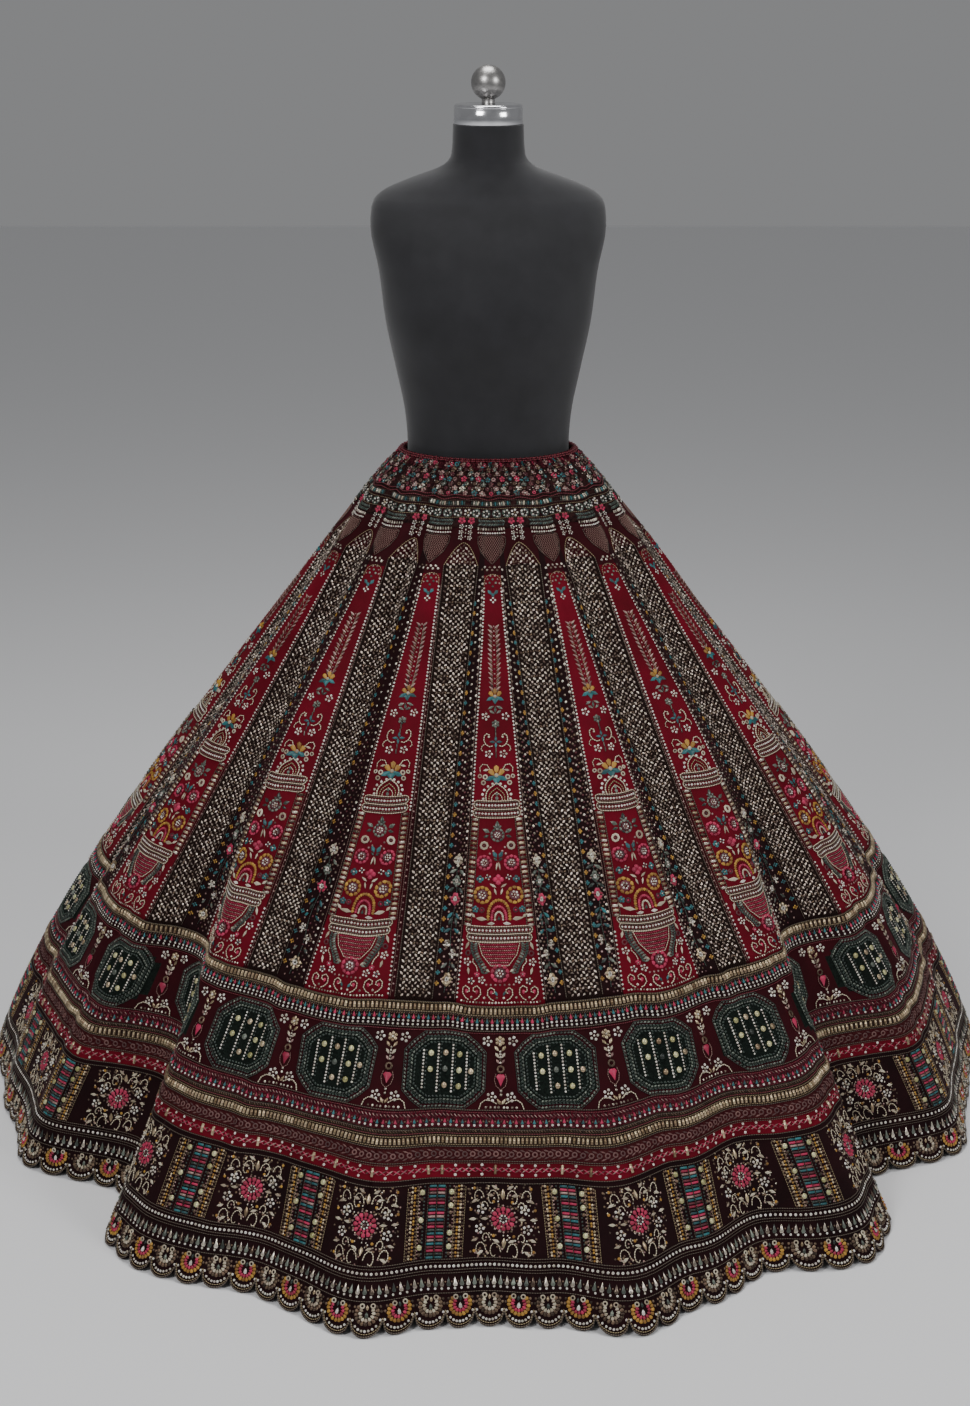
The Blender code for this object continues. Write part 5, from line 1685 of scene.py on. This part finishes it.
def make_form():
    """The torso's smooth cover, its chrome cap and the ball on top."""
    knots = np.array(FORM_SECTIONS)
    ups = np.linspace(knots[0, 0], knots[-1, 0], 56)
    ups = np.unique(np.concatenate([ups, np.linspace(0.335, 0.405, 16)]))
    width, depth, forward = (eased(ups, knots[:, 0], knots[:, column]) for column in (1, 2, 3))
    ways = np.linspace(0.0, 2.0 * np.pi, 96, endpoint=False)
    rings = np.stack([width[:, None] * np.sin(ways), -forward[:, None] - depth[:, None] * np.cos(ways),
                      np.broadcast_to(WAIST_HEIGHT + ups[:, None], (len(ups), len(ways)))], axis=-1)
    ring_stack("form_cover", "form_torso", rings, jersey())
    chrome = metal("Polished chrome", (0.8, 0.8, 0.82), 0.08, 0.22, 60.0)
    steel = metal("Brushed steel", (0.42, 0.41, 0.4), 0.26, 0.45, 160.0)
    round_edge = np.radians(np.linspace(0.0, 90.0, 5))
    cap = [(radius, CAP_FOOT + up) for radius, up in (
        (0.0466, 0.0), (0.0472, 0.0008), (0.0472, 0.0215), (0.0464, 0.0222), (0.0464, 0.0228))]
    cap += [(0.0432 + 0.0036 * math.cos(way), CAP_TOP - 0.0036 + 0.0036 * math.sin(way)) for way in round_edge]
    turned_piece("neck_cap_finish", "form_neck_cap", cap, chrome)
    low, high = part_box("form_finial")
    ball = 0.0236
    centre = high[2] - ball
    way_up = math.asin(0.009 / ball)
    profile = [(0.0095, low[2]), (0.009, low[2] + 0.001), (0.009, centre - ball * math.cos(way_up) - 0.0004)]
    profile += [(ball * math.sin(way), centre - ball * math.cos(way))
                for way in np.linspace(way_up, math.pi - 0.02, 26)]
    turned_piece("finial_finish", "form_finial", profile, steel)
    for node in ("form_pole", "form_base"):
        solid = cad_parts[node]
        solid.data.materials.clear()
        solid.data.materials.append(steel)


make_form()

# Floor, light and camera

FLOOR_REACH = 12.0
FLOOR_LEVEL = -0.001
floor_mesh = bpy.data.meshes.new("studio_floor")
floor_mesh.from_pydata([(x * FLOOR_REACH, y * FLOOR_REACH, FLOOR_LEVEL)
                        for x, y in ((-1, -1), (1, -1), (1, 1), (-1, 1))], [], [(0, 1, 2, 3)])
floor_mesh.materials.append(new_finish("Pale floor", 0.5, Base_Color=(0.88, 0.88, 0.89, 1.0))[0])
shown("studio_floor", floor_mesh)

world = bpy.data.worlds.new("Soft studio")
world.use_nodes = True
background = world.node_tree.nodes["Background"].inputs
background["Color"].default_value = (0.5, 0.505, 0.515, 1.0)
background["Strength"].default_value = 0.46
bpy.context.scene.world = world


def soft_lamp(name, place, target, size, power):
    """A square soft box turned to a target."""
    lamp = bpy.data.lights.new(name, "AREA")
    lamp.size = size
    lamp.energy = power
    holder = shown(name, lamp)
    holder.location = place
    way = np.array(target) - np.array(place)
    flat = math.hypot(way[0], way[1])
    holder.rotation_euler = (math.atan2(flat, -way[2]), 0.0, math.atan2(way[1], way[0]) - math.pi / 2)


soft_lamp("front_softbox", (-1.6, -2.8, 3.0), (0.0, 0.0, 0.5), 1.2, 64.0)
soft_lamp("side_softbox", (2.6, -2.0, 2.4), (0.0, 0.0, 0.5), 1.1, 41.0)
soft_lamp("top_softbox", (0.0, 0.3, 3.4), (0.0, 0.0, 0.3), 1.3, 40.0)

CAMERA_PLACE = (-0.0045, -3.362, 1.651)
CAMERA_DOWN = 17.37
FOCAL_PIXELS = 2400.0
PHOTO_HEIGHT = 1406.0
view = bpy.data.cameras.new("photo_view")
view.sensor_width = 36.0
view.lens = FOCAL_PIXELS / PHOTO_HEIGHT * view.sensor_width
camera = shown("photo_view", view)
camera.location = CAMERA_PLACE
camera.rotation_euler = (math.radians(90.0 - CAMERA_DOWN), 0.0, 0.0)
bpy.context.scene.camera = camera
